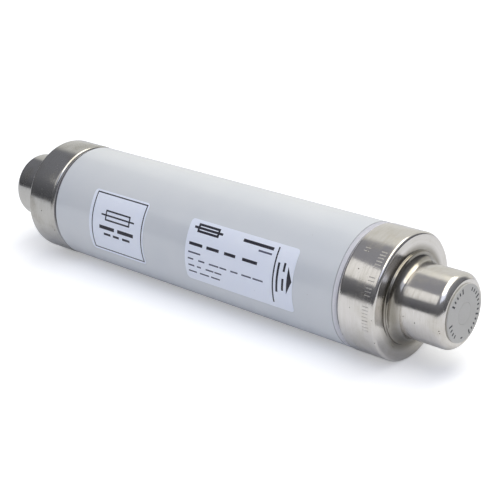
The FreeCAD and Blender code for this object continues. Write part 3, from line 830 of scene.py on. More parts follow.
class PieceGroup(Group):
    """A geometry group that makes a piece, with its outline and finish as inputs."""

    def __init__(self, name: str, inputs: dict[str, float | int]) -> None:
        """Make an empty group.

        Args:
            name: what the group is called.
            inputs: its other inputs, by name with their defaults.
        """
        super().__init__(name, "GeometryNodeTree",
                         {"Outline": SHAPE, **inputs, "Finish": FINISH}, {"Piece": SHAPE})

    def position(self) -> Reading:
        """Where each point is."""
        return self.graph.read("GeometryNodeInputPosition")

    def moved(self, shape: Value, place: Reading) -> bpy.types.Node:
        """The shape with its points moved to a place."""
        return self.graph.add("GeometryNodeSetPosition", {"Geometry": shape, "Position": place})

    def blocks(self, points: Value, **inputs: Value) -> bpy.types.Node:
        """Real copies of one block on points, with their scale and rotation."""
        copies = self.graph.add("GeometryNodeInstanceOnPoints", {"Points": points, **inputs})
        return self.graph.add("GeometryNodeRealizeInstances", {"Geometry": copies})

    def deliver(self, shape: Value) -> None:
        """Give the shape its finish and send it out as the piece."""
        inputs = {"Geometry": shape, "Material": self.given["Finish"]}
        self.give("Piece", self.graph.add("GeometryNodeSetMaterial", inputs))


class Workshop:
    """The finishes, the trees that make the pieces, and the way to a plain mesh."""

    def __init__(self) -> None:
        """Build the finishes and the trees."""
        effects = Effects()
        self.finish = {look: look.value.build(effects) for look in Look}
        self.turned = self.build_turned()
        self.bars = self.build_bars()
        self.ring = self.build_ring()
        self.coil = self.build_coil()

    @staticmethod
    def build_turned() -> PieceGroup:
        """A piece turned about X from an outline of points (along, 0, out).

        Returns:
            The tree.
        """
        group = PieceGroup("turned_piece", {"Segments": SEGMENTS, "Sharp Edge": 0.0})
        graph, given = group.graph, group.given
        outline, segments = given["Outline"], given["Segments"]
        points = graph.read("GeometryNodeAttributeDomainSize", {"Geometry": outline},
                            "Point Count")
        last_point = points - 1
        grid = graph.add("GeometryNodeMeshGrid",
                         {"Size X": last_point, "Size Y": segments, "Vertices X": points,
                          "Vertices Y": segments + 1})
        across, round_axis, _ = graph.split(group.position())
        station = graph.calc("ROUND", across + last_point / 2)
        turn = (round_axis + segments / 2) * math.tau / segments
        sample = graph.read("GeometryNodeSampleIndex",
                            {"Geometry": outline, "Value": group.position(), "Index": station},
                            "Value", data_type="FLOAT_VECTOR")
        along, _, out = graph.split(sample)
        placed = group.moved(grid, graph.polar(along, out, turn))
        welded = graph.add("GeometryNodeMergeByDistance",
                           {"Geometry": placed, "Distance": WELD * METRE})
        loose = graph.calc("LESS_THAN", graph.add("GeometryNodeInputMeshEdgeNeighbors"), 1)
        clean = graph.add("GeometryNodeDeleteGeometry", {"Geometry": welded, "Selection": loose},
                          domain="EDGE")
        smooth = graph.add("GeometryNodeSetShadeSmooth", {"Geometry": clean})
        fold = graph.read("GeometryNodeInputMeshEdgeAngle", output="Unsigned Angle")
        sharp = graph.calc("GREATER_THAN", fold, given["Sharp Edge"])
        group.deliver(graph.add("GeometryNodeSetShadeSmooth",
                                {"Geometry": smooth, "Selection": sharp, "Shade Smooth": False},
                                domain="EDGE"))
        return group

    @staticmethod
    def build_bars() -> PieceGroup:
        """A row of flat bars of uneven length, wrapped on a cylinder about X.

        Returns:
            The tree.
        """
        group = PieceGroup("wrapped_bars", {
            "Count": 6, "Row Length": 0.0, "Bar Height": 0.0, "Thickness": 0.0, "Fill": 0.7,
            "Unevenness": 0.3, "Seed": 1, "Turn": 0.0, "Start": 0.0, "Angle": 0.0,
            "Bend Points": BAR_POINTS, "Radius": 0.0})
        graph, given = group.graph, group.given
        pitch = given["Row Length"] / given["Count"]
        line = graph.add("GeometryNodeMeshLine",
                         {"Count": given["Count"], "Offset": graph.join(pitch, 0.0, 0.0)})
        block = graph.add("GeometryNodeMeshCube", {"Vertices X": given["Bend Points"],
                                                   "Vertices Y": BAR_POINTS})
        limits = {RANDOM_LOW: 1.0 - given["Unevenness"], RANDOM_HIGH: 1.0, "Seed": given["Seed"]}
        chance = graph.read("FunctionNodeRandomValue", limits, RANDOM_RESULT, data_type="FLOAT")
        length = pitch * given["Fill"] * chance
        middles = graph.add("GeometryNodeSetPosition",
                            {"Geometry": line, "Offset": graph.join(length / 2, 0.0, 0.0)})
        size = graph.join(length, given["Bar Height"], given["Thickness"])
        bars = group.blocks(middles, Instance=block, Scale=size)
        turned = graph.add("GeometryNodeTransform",
                           {"Geometry": bars, "Rotation": graph.join(0.0, 0.0, given["Turn"])})
        along, round_axis, out = graph.split(group.position())
        place = graph.polar(along + given["Start"], given["Radius"] + out,
                            round_axis / given["Radius"] + given["Angle"])
        group.deliver(group.moved(turned, place))
        return group

    @staticmethod
    def build_ring() -> PieceGroup:
        """Short strokes that point at the axis, along an arc on a face across X.

        Returns:
            The tree.
        """
        group = PieceGroup("ring_of_strokes", {
            "Count": 8, "Radius": 0.0, "Length": 0.0, "Width": 0.0, "Thickness": 0.0,
            "First Angle": 0.0, "Last Angle": 0.0, "Long Every": 4.0, "Short Share": 0.62,
            "Face": 0.0})
        graph, given = group.graph, group.given
        points = graph.add("GeometryNodeMeshLine", {"Count": given["Count"]})
        index = graph.read("GeometryNodeInputIndex")
        share = index / graph.calc("MAXIMUM", given["Count"] - 1, 1)
        swing = given["Last Angle"] - given["First Angle"]
        angle = given["First Angle"] + swing * share
        placed = group.moved(points, graph.polar(given["Face"], given["Radius"], angle))
        is_long = graph.calc("LESS_THAN", graph.calc("MODULO", index, given["Long Every"]), 0.5)
        length = given["Length"] * graph.ramp(is_long, 0.0, 1.0, given["Short Share"], 1.0)
        size = graph.join(given["Thickness"], length, given["Width"])
        group.deliver(group.blocks(placed, Instance=graph.add("GeometryNodeMeshCube"),
                                   Scale=size, Rotation=graph.join(angle * -1, 0.0, 0.0)))
        return group

    @staticmethod
    def build_coil() -> PieceGroup:
        """A round wire wound about X, with one close turn at each end.

        Returns:
            The tree.
        """
        group = PieceGroup("wound_spring", {
            "Turns": 9.0, "Steps": 24, "Coil Radius": 0.0, "Wire Radius": 0.0,
            "Close Pitch": 0.0, "Start": 0.0, "Rise": 0.0, "Wire Points": 12})
        graph, given = group.graph, group.given
        line = graph.add("GeometryNodeMeshLine", {"Count": given["Turns"] * given["Steps"] + 1})
        turn = graph.read("GeometryNodeInputIndex") / given["Steps"]
        closed = given["Close Pitch"]
        open_rise = given["Rise"] - closed * 2
        open_turns = given["Turns"] - 2
        first = graph.calc("MINIMUM", turn, 1) * closed
        middle = graph.calc("MINIMUM", graph.calc("MAXIMUM", turn - 1, 0), open_turns)
        last = graph.calc("MAXIMUM", turn - (open_turns + 1), 0) * closed
        along = first + middle * open_rise / open_turns + (last + given["Start"])
        place = graph.polar(along, given["Coil Radius"], math.pi - turn * math.tau)
        path = graph.add("GeometryNodeMeshToCurve", {"Mesh": group.moved(line, place)})
        section = graph.add("GeometryNodeCurvePrimitiveCircle",
                            {"Resolution": given["Wire Points"], "Radius": given["Wire Radius"]})
        wire = graph.add("GeometryNodeCurveToMesh",
                         {"Curve": path, "Profile Curve": section, "Fill Caps": True})
        group.deliver(graph.add("GeometryNodeSetShadeSmooth", {"Geometry": wire}))
        return group

    @staticmethod
    def make(name: str, group: PieceGroup, inputs: dict,
             outline: Sequence[Vector] = ()) -> bpy.types.Mesh:
        """Run a tree on an outline and keep the result as a plain mesh.

        Args:
            name: what the mesh is called.
            group: the tree.
            inputs: values by the names of the tree's inputs.
            outline: points (along, out) in millimetres, in order.

        Returns:
            The plain mesh.
        """
        source = bpy.data.meshes.new(name + "_outline")
        source.from_pydata([(p.x * METRE, 0.0, p.y * METRE) for p in outline], [], [])
        holder = add_object(name + "_holder", source)
        modifier = holder.modifiers.new(group.tree.name, "NODES")
        modifier.node_group = group.tree
        for key, value in inputs.items():
            modifier[group.keys[key]] = value
        graph = bpy.context.evaluated_depsgraph_get()
        mesh = bpy.data.meshes.new_from_object(holder.evaluated_get(graph))
        mesh.name = name
        bpy.data.objects.remove(holder)
        bpy.data.meshes.remove(source)
        return mesh

    def turn(self, name: str, corners: Sequence[Corner], look: Look) -> bpy.types.Mesh:
        """Turn a closed outline about the axis of the fuse.

        Args:
            name: what the mesh is called.
            corners: the outline, outside first.
            look: its finish.

        Returns:
            The plain mesh.
        """
        inputs = {"Segments": SEGMENTS, "Sharp Edge": math.radians(SHARP_EDGE),
                  "Finish": self.finish[look]}
        return self.make(name, self.turned, inputs, rounded_outline(corners))

    def wrap(self, name: str, row: Row, radius: float, thickness: float, seed: int,
             look: Look) -> bpy.types.Mesh:
        """Wrap one row of bars on a cylinder.

        Args:
            name: what the mesh is called.
            row: where the bars lie and how many there are.
            radius: middle of the bars' thickness from the axis.
            thickness: of the bars.
            seed: which uneven lengths they get.
            look: their finish.

        Returns:
            The plain mesh.
        """
        return self.make(name, self.bars, {
            "Count": row.count, "Row Length": row.length * METRE,
            "Bar Height": row.height * METRE, "Thickness": thickness * METRE,
            "Fill": row.fill, "Unevenness": row.unevenness, "Seed": seed,
            "Turn": -math.pi / 2 if row.upright else 0.0,
            "Start": row.start * METRE, "Angle": math.radians(row.angle),
            "Bend Points": LINE_POINTS if row.upright and row.count == 1 else BAR_POINTS,
            "Radius": radius * METRE, "Finish": self.finish[look],
        })


def add_object(name: str, data: bpy.types.ID) -> bpy.types.Object:
    """Put an object in the scene.

    Args:
        name: what it is called.
        data: its mesh, lamp or camera.

    Returns:
        The object.
    """
    item = bpy.data.objects.new(name, data)
    bpy.context.scene.collection.objects.link(item)
    return item


def add_piece(name: str, mesh: bpy.types.Mesh, body: Body = Body.LINK,
              replaces: Sequence[str] = ()) -> None:
    """Put a mesh in the scene as a piece of the fuse.

    Args:
        name: the piece's name.
        mesh: its shape, in place.
        body: what it moves with.
        replaces: the nodes that it stands for.
    """
    piece = add_object(name, mesh)
    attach(piece, body.value)
    if replaces:
        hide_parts(*replaces)
    log.info("%s: %d faces", name, len(mesh.polygons))


def joined_mesh(name: str, meshes: Sequence[bpy.types.Mesh]) -> bpy.types.Mesh:
    """Join meshes into one that keeps the materials of all.

    Args:
        name: what the mesh is called.
        meshes: the meshes, in order.

    Returns:
        The joined mesh.
    """
    points: list[Vector] = []
    faces: list[list[int]] = []
    slots: list[int] = []
    smooth: list[bool] = []
    finishes: list[bpy.types.Material] = []
    for mesh in meshes:
        start = len(points)
        points += [vertex.co.copy() for vertex in mesh.vertices]
        for face in mesh.polygons:
            finish = mesh.materials[face.material_index]
            if finish not in finishes:
                finishes.append(finish)
            faces.append([start + number for number in face.vertices])
            slots.append(finishes.index(finish))
            smooth.append(face.use_smooth)
    whole = bpy.data.meshes.new(name)
    whole.from_pydata(points, [], faces)
    for finish in finishes:
        whole.materials.append(finish)
    whole.polygons.foreach_set("material_index", slots)
    whole.polygons.foreach_set("use_smooth", smooth)
    whole.update()
    return whole


def sheet_mesh(name: str, rows: Sequence[Sequence[Span]], inner: float, outer: float,
               finish: bpy.types.Material) -> bpy.types.Mesh:
    """A thin closed sheet wrapped on a cylinder about X.

    Args:
        name: what the mesh is called.
        rows: equally long rows of points (along, angle in radians), the lowest row first.
        inner: radius of its under side.
        outer: radius of its upper side.
        finish: its material.

    Returns:
        The plain mesh.
    """
    points = [on_cylinder(along, reach, angle) for reach in (outer, inner)
              for row in rows for along, angle in row]
    wide, tall = len(rows[0]), len(rows)
    under = wide * tall
    faces = []
    for level in range(tall - 1):
        for step in range(wide - 1):
            a = level * wide + step
            faces.append((a, a + 1, a + wide + 1, a + wide))
            faces.append((under + a, under + a + wide, under + a + wide + 1, under + a + 1))
    rim = list(range(wide))
    rim += [level * wide + wide - 1 for level in range(1, tall)]
    rim += [(tall - 1) * wide + step for step in range(wide - 2, -1, -1)]
    rim += [level * wide for level in range(tall - 2, 0, -1)]
    for here, there in zip(rim, rim[1:] + rim[:1]):
        faces.append((there, here, under + here, under + there))
    mesh = bpy.data.meshes.new(name)
    mesh.from_pydata(points, [], faces)
    mesh.materials.append(finish)
    return mesh


@dataclass
class Barrel:
    """Glazed porcelain tube with its ground seats and crimp grooves."""

    shop: Workshop
    wall: float = 8.1
    seat_radius: float = 36.3
    seat_round: float = 0.15
    groove_radius: float = 35.8
    groove_start: float = 119.2
    groove_end: float = 123.4
    groove_round: float = 0.2
    flank_width: float = 1.5
    shoulder_round: float = 0.4
    end_round: float = 0.3
    bore_round: float = 0.4

    def build(self) -> None:
        """Make the tube from half an outline and its mirror image."""
        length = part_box("barrel")[1].x / METRE
        right = [
            Corner(self.groove_start - self.flank_width, BARREL_RADIUS, self.shoulder_round),
            Corner(self.groove_start, self.groove_radius, self.groove_round),
            Corner(self.groove_end, self.groove_radius, self.groove_round),
            Corner(self.groove_end, self.seat_radius, self.seat_round),
            Corner(length, self.seat_radius, self.end_round),
            Corner(length, BARREL_RADIUS - self.wall, self.bore_round),
        ]
        left = mirrored(right, End.PLAIN)
        mesh = self.shop.turn("glazed_barrel", left[1:] + right + left[:1], Look.PORCELAIN)
        add_piece("glazed_barrel", mesh, replaces=["barrel"])


@dataclass
class EndCap:
    """Drawn and plated end cap: lip, skirt, face, collar and contact in one sheet."""

    shop: Workshop
    end: End
    sheet: float = 1.2
    lip_place: float = 120.6
    lip_radius: float = 36.0
    lip_round: float = 2.35
    lip_edge_round: float = 0.25
    lip_inner_round: float = 0.5
    shoulder_round: float = 1.9
    face: float = 146.0
    face_inner_round: float = 0.8
    collar: float = 148.0
    collar_radius: float = 27.6
    collar_foot_round: float = 0.8
    collar_round: float = 1.1
    inner_cap_out: float = 144.8
    contact_radius: float = 22.5
    contact_root_round: float = 4.8
    contact_inner_round: float = 1.5
    plain_contact_end: float = 180.5
    plain_end_round: float = 5.0
    plain_end_wall: float = 1.2
    striker_contact_end: float = 179.45
    striker_taper_start: float = 176.95
    striker_taper_radius: float = 19.3
    striker_taper_round: float = 5.2
    striker_end_round: float = 0.8
    striker_end_wall: float = 0.95
    opening_radius: float = 6.6
    opening_round: float = 0.2

    def end_corners(self) -> list[Corner]:
        """The end of the contact, from its outside to the inside of its wall.

        Returns:
            The corners, outside first.
        """
        hollow = self.contact_radius - self.sheet
        if self.end is End.PLAIN:
            back = self.plain_contact_end - self.plain_end_wall
            return [
                Corner(self.plain_contact_end, self.contact_radius, self.plain_end_round),
                Corner(self.plain_contact_end, 0.0),
                Corner(back, 0.0),
                Corner(back, hollow, self.contact_inner_round),
            ]
        back = self.striker_contact_end - self.striker_end_wall
        return [
            Corner(self.striker_taper_start, self.contact_radius, self.striker_taper_round),
            Corner(self.striker_contact_end, self.striker_taper_radius, self.striker_end_round),
            Corner(self.striker_contact_end, self.opening_radius, self.opening_round),
            Corner(back, self.opening_radius, self.opening_round),
            Corner(back, hollow, self.contact_inner_round),
        ]

    def outline(self) -> list[Corner]:
        """The closed outline of the sheet.

        Returns:
            The corners, outside first.
        """
        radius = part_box("striker_end_cap")[1].z / METRE
        inside = radius - self.sheet
        hollow_collar = self.collar_radius - self.sheet
        corners = [
            Corner(self.lip_place, self.lip_radius, self.lip_edge_round),
            Corner(self.lip_place, radius, self.lip_round),
            Corner(self.face, radius, self.shoulder_round),
            Corner(self.face, self.collar_radius, self.collar_foot_round),
            Corner(self.collar, self.collar_radius, self.collar_round),
            Corner(self.collar, self.contact_radius, self.contact_root_round),
            *self.end_corners(),
            Corner(self.collar - self.sheet, self.contact_radius - self.sheet),
            Corner(self.collar - self.sheet, hollow_collar),
            Corner(self.inner_cap_out, hollow_collar),
            Corner(self.inner_cap_out, inside, self.face_inner_round),
            Corner(self.lip_place + self.sheet, inside, self.lip_inner_round),
            Corner(self.lip_place + self.sheet, self.lip_radius, self.lip_edge_round),
        ]
        return mirrored(corners, self.end)

    def build(self) -> None:
        """Make the cap."""
        side = self.end.name.lower()
        look = Look.PLATED_CAP if self.end is End.STRIKER else Look.TARNISHED_CAP
        mesh = self.shop.turn(side + "_cap_shell", self.outline(), look)
        add_piece(side + "_cap_shell", mesh, replaces=[side + "_end_cap"])


@dataclass
class Label:
    """A stuck-on film with plain printed marks, on the side of the barrel."""

    shop: Workshop
    name: str
    node: str
    low_angle: float
    high_angle: float
    rows: Sequence[Row]
    corner: float = 2.5
    steps_along: int = 40
    steps_round: int = 48
    steps_corner: int = 8

    def inset(self, height: float, span: float) -> float:
        """How far a row of the film starts from its side edge, near a round corner.

        Args:
            height: of the row above the film's lower edge.
            span: height of the whole film.

        Returns:
            The distance.
        """
        near = min(height, span - height)
        if near >= self.corner:
            return 0.0
        return self.corner - math.sqrt(max(self.corner ** 2 - (self.corner - near) ** 2, 0.0))

    def levels(self, span: float) -> list[float]:
        """Heights of the rows of points, close together at both round corners.

        Args:
            span: height of the whole film.

        Returns:
            The heights, the lowest first.
        """
        bends = [self.corner * (1 - math.cos(math.pi / 2 * step / self.steps_corner))
                 for step in range(self.steps_corner)]
        middle = [self.corner + (span - 2 * self.corner) * step / self.steps_round
                  for step in range(self.steps_round + 1)]
        return bends + middle + [span - bend for bend in reversed(bends)]

    def film_mesh(self) -> bpy.types.Mesh:
        """The film with its edge, wrapped round the barrel.

        Returns:
            The plain mesh.
        """
        low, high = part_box(self.node)
        start, end = low.x / METRE, high.x / METRE
        inner = BARREL_RADIUS + FILM_LIFT
        outer = inner + FILM_THICKNESS
        span = math.radians(self.high_angle - self.low_angle) * outer
        rows = []
        for height in self.levels(span):
            side = self.inset(height, span)
            width = end - start - 2 * side
            rows.append([(start + side + width * step / self.steps_along,
                          math.radians(self.low_angle) + height / outer)
                         for step in range(self.steps_along + 1)])
        mesh = sheet_mesh(self.name, rows, inner, outer, self.shop.finish[Look.LABEL_FILM])
        mesh.polygons.foreach_set("use_smooth", [True] * len(mesh.polygons))
        mesh.set_sharp_from_angle(angle=math.radians(SHARP_EDGE))
        return mesh

    def build(self, extra: Sequence[bpy.types.Mesh] = ()) -> None:
        """Make the film and its print.

        Args:
            extra: more printed marks.
        """
        add_piece(self.name, self.film_mesh(), replaces=[self.node])
        marks = [self.shop.wrap("%s_row_%d" % (self.name, seed), row, PRINT_RADIUS,
                                INK_THICKNESS, seed,
                                Look.SMALL_PRINT if row.fine else Look.LABEL_INK)
                 for seed, row in enumerate(self.rows, 1)]
        add_piece(self.name + "_print", joined_mesh(self.name + "_print", marks + list(extra)))


@dataclass
class Arrow:
    """A plain triangle on a label that points to the striker end."""

    shop: Workshop
    base: float = 84.5
    tip: float = 88.2
    blunt: float = 0.02
    high_angle: float = 20.6
    low_angle: float = -4.3
    steps: int = 24

    def mesh(self) -> bpy.types.Mesh:
        """The triangle, wrapped round the barrel in narrow bands.

        Returns:
            The plain mesh.
        """
        rows = []
        for step in range(self.steps + 1):
            share = step / self.steps
            angle = math.radians(self.low_angle + (self.high_angle - self.low_angle) * share)
            width = (self.tip - self.base) * (1 - abs(2 * share - 1))
            rows.append([(self.base, angle), (self.base + width + self.blunt, angle)])
        return sheet_mesh("arrow", rows, PRINT_RADIUS - INK_THICKNESS / 2,
                          PRINT_RADIUS + INK_THICKNESS / 2, self.shop.finish[Look.LABEL_INK])


def frame_lines(left: float, right: float, low: float, high: float,
                width: float) -> list[Row]:
    """Four lines that frame a part of a label.

    Args:
        left: place of the left line.
        right: place of the right line.
        low: angle of the lower line.
        high: angle of the upper line.
        width: of the lines.

    Returns:
        The lines.
    """
    tall = math.radians(high - low) * PRINT_RADIUS + width
    top = high + math.degrees(width / 2 / PRINT_RADIUS)
    level = [Row(left, angle, right - left, width) for angle in (high, low)]
    return level + [Row(side, top, tall, width, upright=True) for side in (left, right)]


def fuse_sign(left: float, right: float, low: float, high: float, lead: float,
              width: float) -> list[Row]:
    """The usual drawing sign of a fuse: a box with its wire through it."""
    wire = Row(left - lead, (low + high) / 2, right - left + 2 * lead, width)
    return frame_lines(left, right, low, high, width) + [wire]


RATING_ROWS = fuse_sign(11.5, 27.5, 27.4, 33.8, 3.6, 1.5) + [
    Row(6.5, 14.8, 57.7, 1.9, 4, 0.90, 0.45),
    Row(6.5, 6.6, 10.1, 1.0, fine=True),
    Row(6.3, 0.3, 61.5, 1.0, 7, 0.90, 0.55, fine=True),
    Row(6.5, -6.2, 29.0, 1.0, 4, 0.90, 0.5, fine=True),
    Row(6.2, -12.5, 28.0, 1.0, 3, 0.92, 0.5, fine=True),
    Row(47.3, 31.6, 23.5, 1.9),
    Row(60.3, 26.5, 10.2, 1.1, fine=True),
    Row(74.3, 34.9, 34.5, 1.0, upright=True),
    Row(77.3, 21.8, 17.8, 1.5, upright=True),
    Row(81.6, 23.0, 19.0, 1.5, 2, 0.86, 0.4, upright=True),
]

RANGE_ROWS = frame_lines(-81.0, -35.3, -21.7, 36.4, 0.85) + fuse_sign(
    -68.5, -46.8, 11.2, 20.4, 4.4, 1.05) + [
    Row(-74.0, 3.0, 34.0, 2.4, 2, 0.90, 0.2),
    Row(-70.0, -3.6, 26.0, 1.6, 3, 0.86, 0.4),
]


@dataclass(frozen=True)
class Arc:
    """An arc of strokes on the marking disc."""

    count: int
    first_angle: float
    last_angle: float


@dataclass
class MarkingDisc:
    """Grey disc in the striker contact, its scored centre and a scale of strokes."""

    shop: Workshop
    thickness: float = 1.05
    centre_thickness: float = 0.8
    radius: float = 17.2
    rim_round: float = 0.45
    back_round: float = 0.1
    centre_radius: float = 6.4
    score: float = 0.1
    score_round: float = 0.08
    print_depth: float = 0.005
    stroke_radius: float = 14.2
    stroke_length: float = 3.3
    stroke_width: float = 1.05
    stroke_thickness: float = 0.02
    arcs: Sequence[Arc] = (Arc(5, 77.0, 32.0), Arc(4, -14.0, -51.0), Arc(12, -115.0, -243.0))
    dot: Arc = Arc(1, -83.0, -83.0)
    dot_length: float = 0.9
    dot_width: float = 2.1

    def strokes(self, number: int, arc: Arc, length: float, width: float,
                face: float) -> bpy.types.Mesh:
        """One arc of strokes, printed on the face.

        Args:
            number: of the arc.
            arc: how many strokes it has, and where.
            length: of a long stroke.
            width: of the strokes.
            face: place of the face along the axis.

        Returns:
            The plain mesh.
        """
        return self.shop.make("strokes_%d" % number, self.shop.ring, {
            "Count": arc.count, "Radius": self.stroke_radius * METRE,
            "Length": length * METRE, "Width": width * METRE,
            "Thickness": self.stroke_thickness * METRE,
            "First Angle": math.radians(arc.first_angle),
            "Last Angle": math.radians(arc.last_angle),
            "Face": (face - self.stroke_thickness / 2) * METRE,
            "Finish": self.shop.finish[Look.DISC_INK],
        })

    def build(self) -> None:
        """Make the disc, the centre that leaves with the pin, and the strokes."""
        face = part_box("end_disc")[1].x / METRE
        front = face - self.print_depth
        back = face - self.thickness
        behind = face - self.centre_thickness
        hole = self.centre_radius + self.score
        ring = [
            Corner(back, hole),
            Corner(back, self.radius, self.back_round),
            Corner(front, self.radius, self.rim_round),
            Corner(front, hole, self.score_round),
        ]
        centre = [
            Corner(behind, 0.0),
            Corner(behind, self.centre_radius),
            Corner(front, self.centre_radius, self.score_round),
            Corner(front, 0.0),
        ]
        for name, corners, body, node in (
                ("marking_disc_ring", ring, Body.LINK, "end_disc"),
                ("marking_disc_centre", centre, Body.STRIKER, "disc_patch")):
            mesh = self.shop.turn(name, corners, Look.MARKING_DISC)
            add_piece(name, mesh, body, replaces=[node])
        marks = [self.strokes(number, arc, self.stroke_length, self.stroke_width, face)
                 for number, arc in enumerate(self.arcs)]
        marks.append(self.strokes(len(marks), self.dot, self.dot_length, self.dot_width, face))
        add_piece("marking_disc_scale", joined_mesh("marking_disc_scale", marks))


@dataclass
class CapStamps:
    """Small upright strokes struck into the skirt of the striker cap.

    Each row has a start, an angle, a length, a height and a count.
    """

    shop: Workshop
    radius: float = 38.4
    thickness: float = 0.012
    fill: float = 0.34
    unevenness: float = 0.5
    first_seed: int = 5
    rows: Sequence[tuple[float, float, float, float, int]] = (
        (140.4, 57.0, 12.6, 4.0, 6),
        (140.4, 33.0, 12.6, 4.0, 6),
        (140.4, 8.0, 16.8, 4.0, 8),
        (129.3, 57.0, 4.2, 3.4, 2),
    )

    def build(self) -> None:
        """Make the strokes."""
        meshes = [self.shop.wrap("stamp_%d" % seed,
                                 Row(*row, self.fill, self.unevenness, upright=True),
                                 self.radius, self.thickness, seed, Look.STAMPED_METAL)
                  for seed, row in enumerate(self.rows, self.first_seed)]
        add_piece("cap_stamps", joined_mesh("cap_stamps", meshes))


@dataclass
class Striker:
    """The pin with its stop flange, and the spring that drives it."""

    shop: Workshop
    pin_bore: float = 9.8
    bore_round: float = 0.15
    pocket_round: float = 0.4
    nose_wall: float = 3.0
    flange_length: float = 3.0
    flange_round: float = 0.3
    pin_radius: float = 5.95
    neck_round: float = 0.2
    nose_bevel: float = 0.8
    nose_round: float = 0.3
    wire: float = 1.0
    close_pitch: float = 1.02
    turns: float = 9.0
    turn_steps: int = 24

    def pin_outline(self) -> list[Corner]:
        """The closed outline of the hollow pin.

        Returns:
            The corners, outside first.
        """
        low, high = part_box("striker_pin")
        rear, front = low.x / METRE, high.x / METRE
        flange_radius = high.z / METRE
        flange_end = rear + self.flange_length
        pocket = front - self.nose_wall
        return [
            Corner(rear, self.pin_bore / 2, self.bore_round),
            Corner(rear, flange_radius, self.flange_round),
            Corner(flange_end, flange_radius, self.flange_round),
            Corner(flange_end, self.pin_radius, self.neck_round),
            Corner(front - self.nose_bevel, self.pin_radius, self.nose_round),
            Corner(front, self.pin_radius - self.nose_bevel, self.nose_round),
            Corner(front, 0.0),
            Corner(pocket, 0.0),
            Corner(pocket, self.pin_bore / 2, self.pocket_round),
        ]

    def build(self) -> None:
        """Make the pin and the spring."""
        pin = self.shop.turn("hollow_pin", self.pin_outline(), Look.PIN_STEEL)
        add_piece("hollow_pin", pin, Body.STRIKER, replaces=["striker_pin"])
        low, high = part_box("striker_spring")
        wire = self.wire * METRE
        coil = self.shop.make("drive_spring", self.shop.coil, {
            "Turns": self.turns, "Steps": self.turn_steps, "Coil Radius": high.z - wire / 2,
            "Wire Radius": wire / 2, "Close Pitch": self.close_pitch * METRE,
            "Start": low.x + wire / 2, "Rise": high.x - low.x - wire,
            "Finish": self.shop.finish[Look.SPRING_STEEL],
        })
        spring = add_object("drive_spring", coil)
        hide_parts("striker_spring")
        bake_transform(spring)
        log.info("drive_spring: %d faces", len(coil.polygons))


@dataclass
class InnerParts:
    """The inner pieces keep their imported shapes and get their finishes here."""

    shop: Workshop
    nodes: Sequence[tuple[Look, tuple[str, ...]]] = (
        (Look.PLATED_SHEET, ("striker_inner_cap", "plain_inner_cap")),
        (Look.GASKET, ("striker_end_gasket", "plain_end_gasket", "filling_plug")),
        (Look.COPPER, ("striker_terminal", "plain_terminal")),
        (Look.STEATITE, ("star_core",)),
        (Look.TIN, ("tin_spots",)),
        (Look.SAND, ("quartz_filler",)),
        (Look.WIRE_STEEL, ("trip_wire",)),
        (Look.BRASS, ("wire_anchor", "striker_housing", "striker_base")),
        (Look.SILVER, ("fuse_element_1", "fuse_element_2", "fuse_element_3")),
    )

    def build(self) -> None:
        """Dress every inner piece."""
        for look, names in self.nodes:
            for name in names:
                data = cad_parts[name].data
                data.materials.clear()
                data.materials.append(self.shop.finish[look])
                log.info("%s: %s", name, look.value.name)


@dataclass(frozen=True)
class Lamp:
    """A soft panel lamp that hangs at a place and faces a target. Power is in watts."""

    name: str
    place: Point
    target: Point
    width: float
    height: float
    power: float
    tint: Point

    def build(self) -> None:
        """Make the lamp."""
        data = bpy.data.lights.new(self.name, "AREA")
        data.color = self.tint
        data.shape = "RECTANGLE"
        data.size = self.width
        data.size_y = self.height
        data.energy = self.power
        lamp = add_object(self.name, data)
        lamp.location = self.place
        aim = Vector(self.target) - Vector(self.place)
        lamp.rotation_euler = aim.to_track_quat("-Z", "Y").to_euler()
        lamp.visible_camera = False


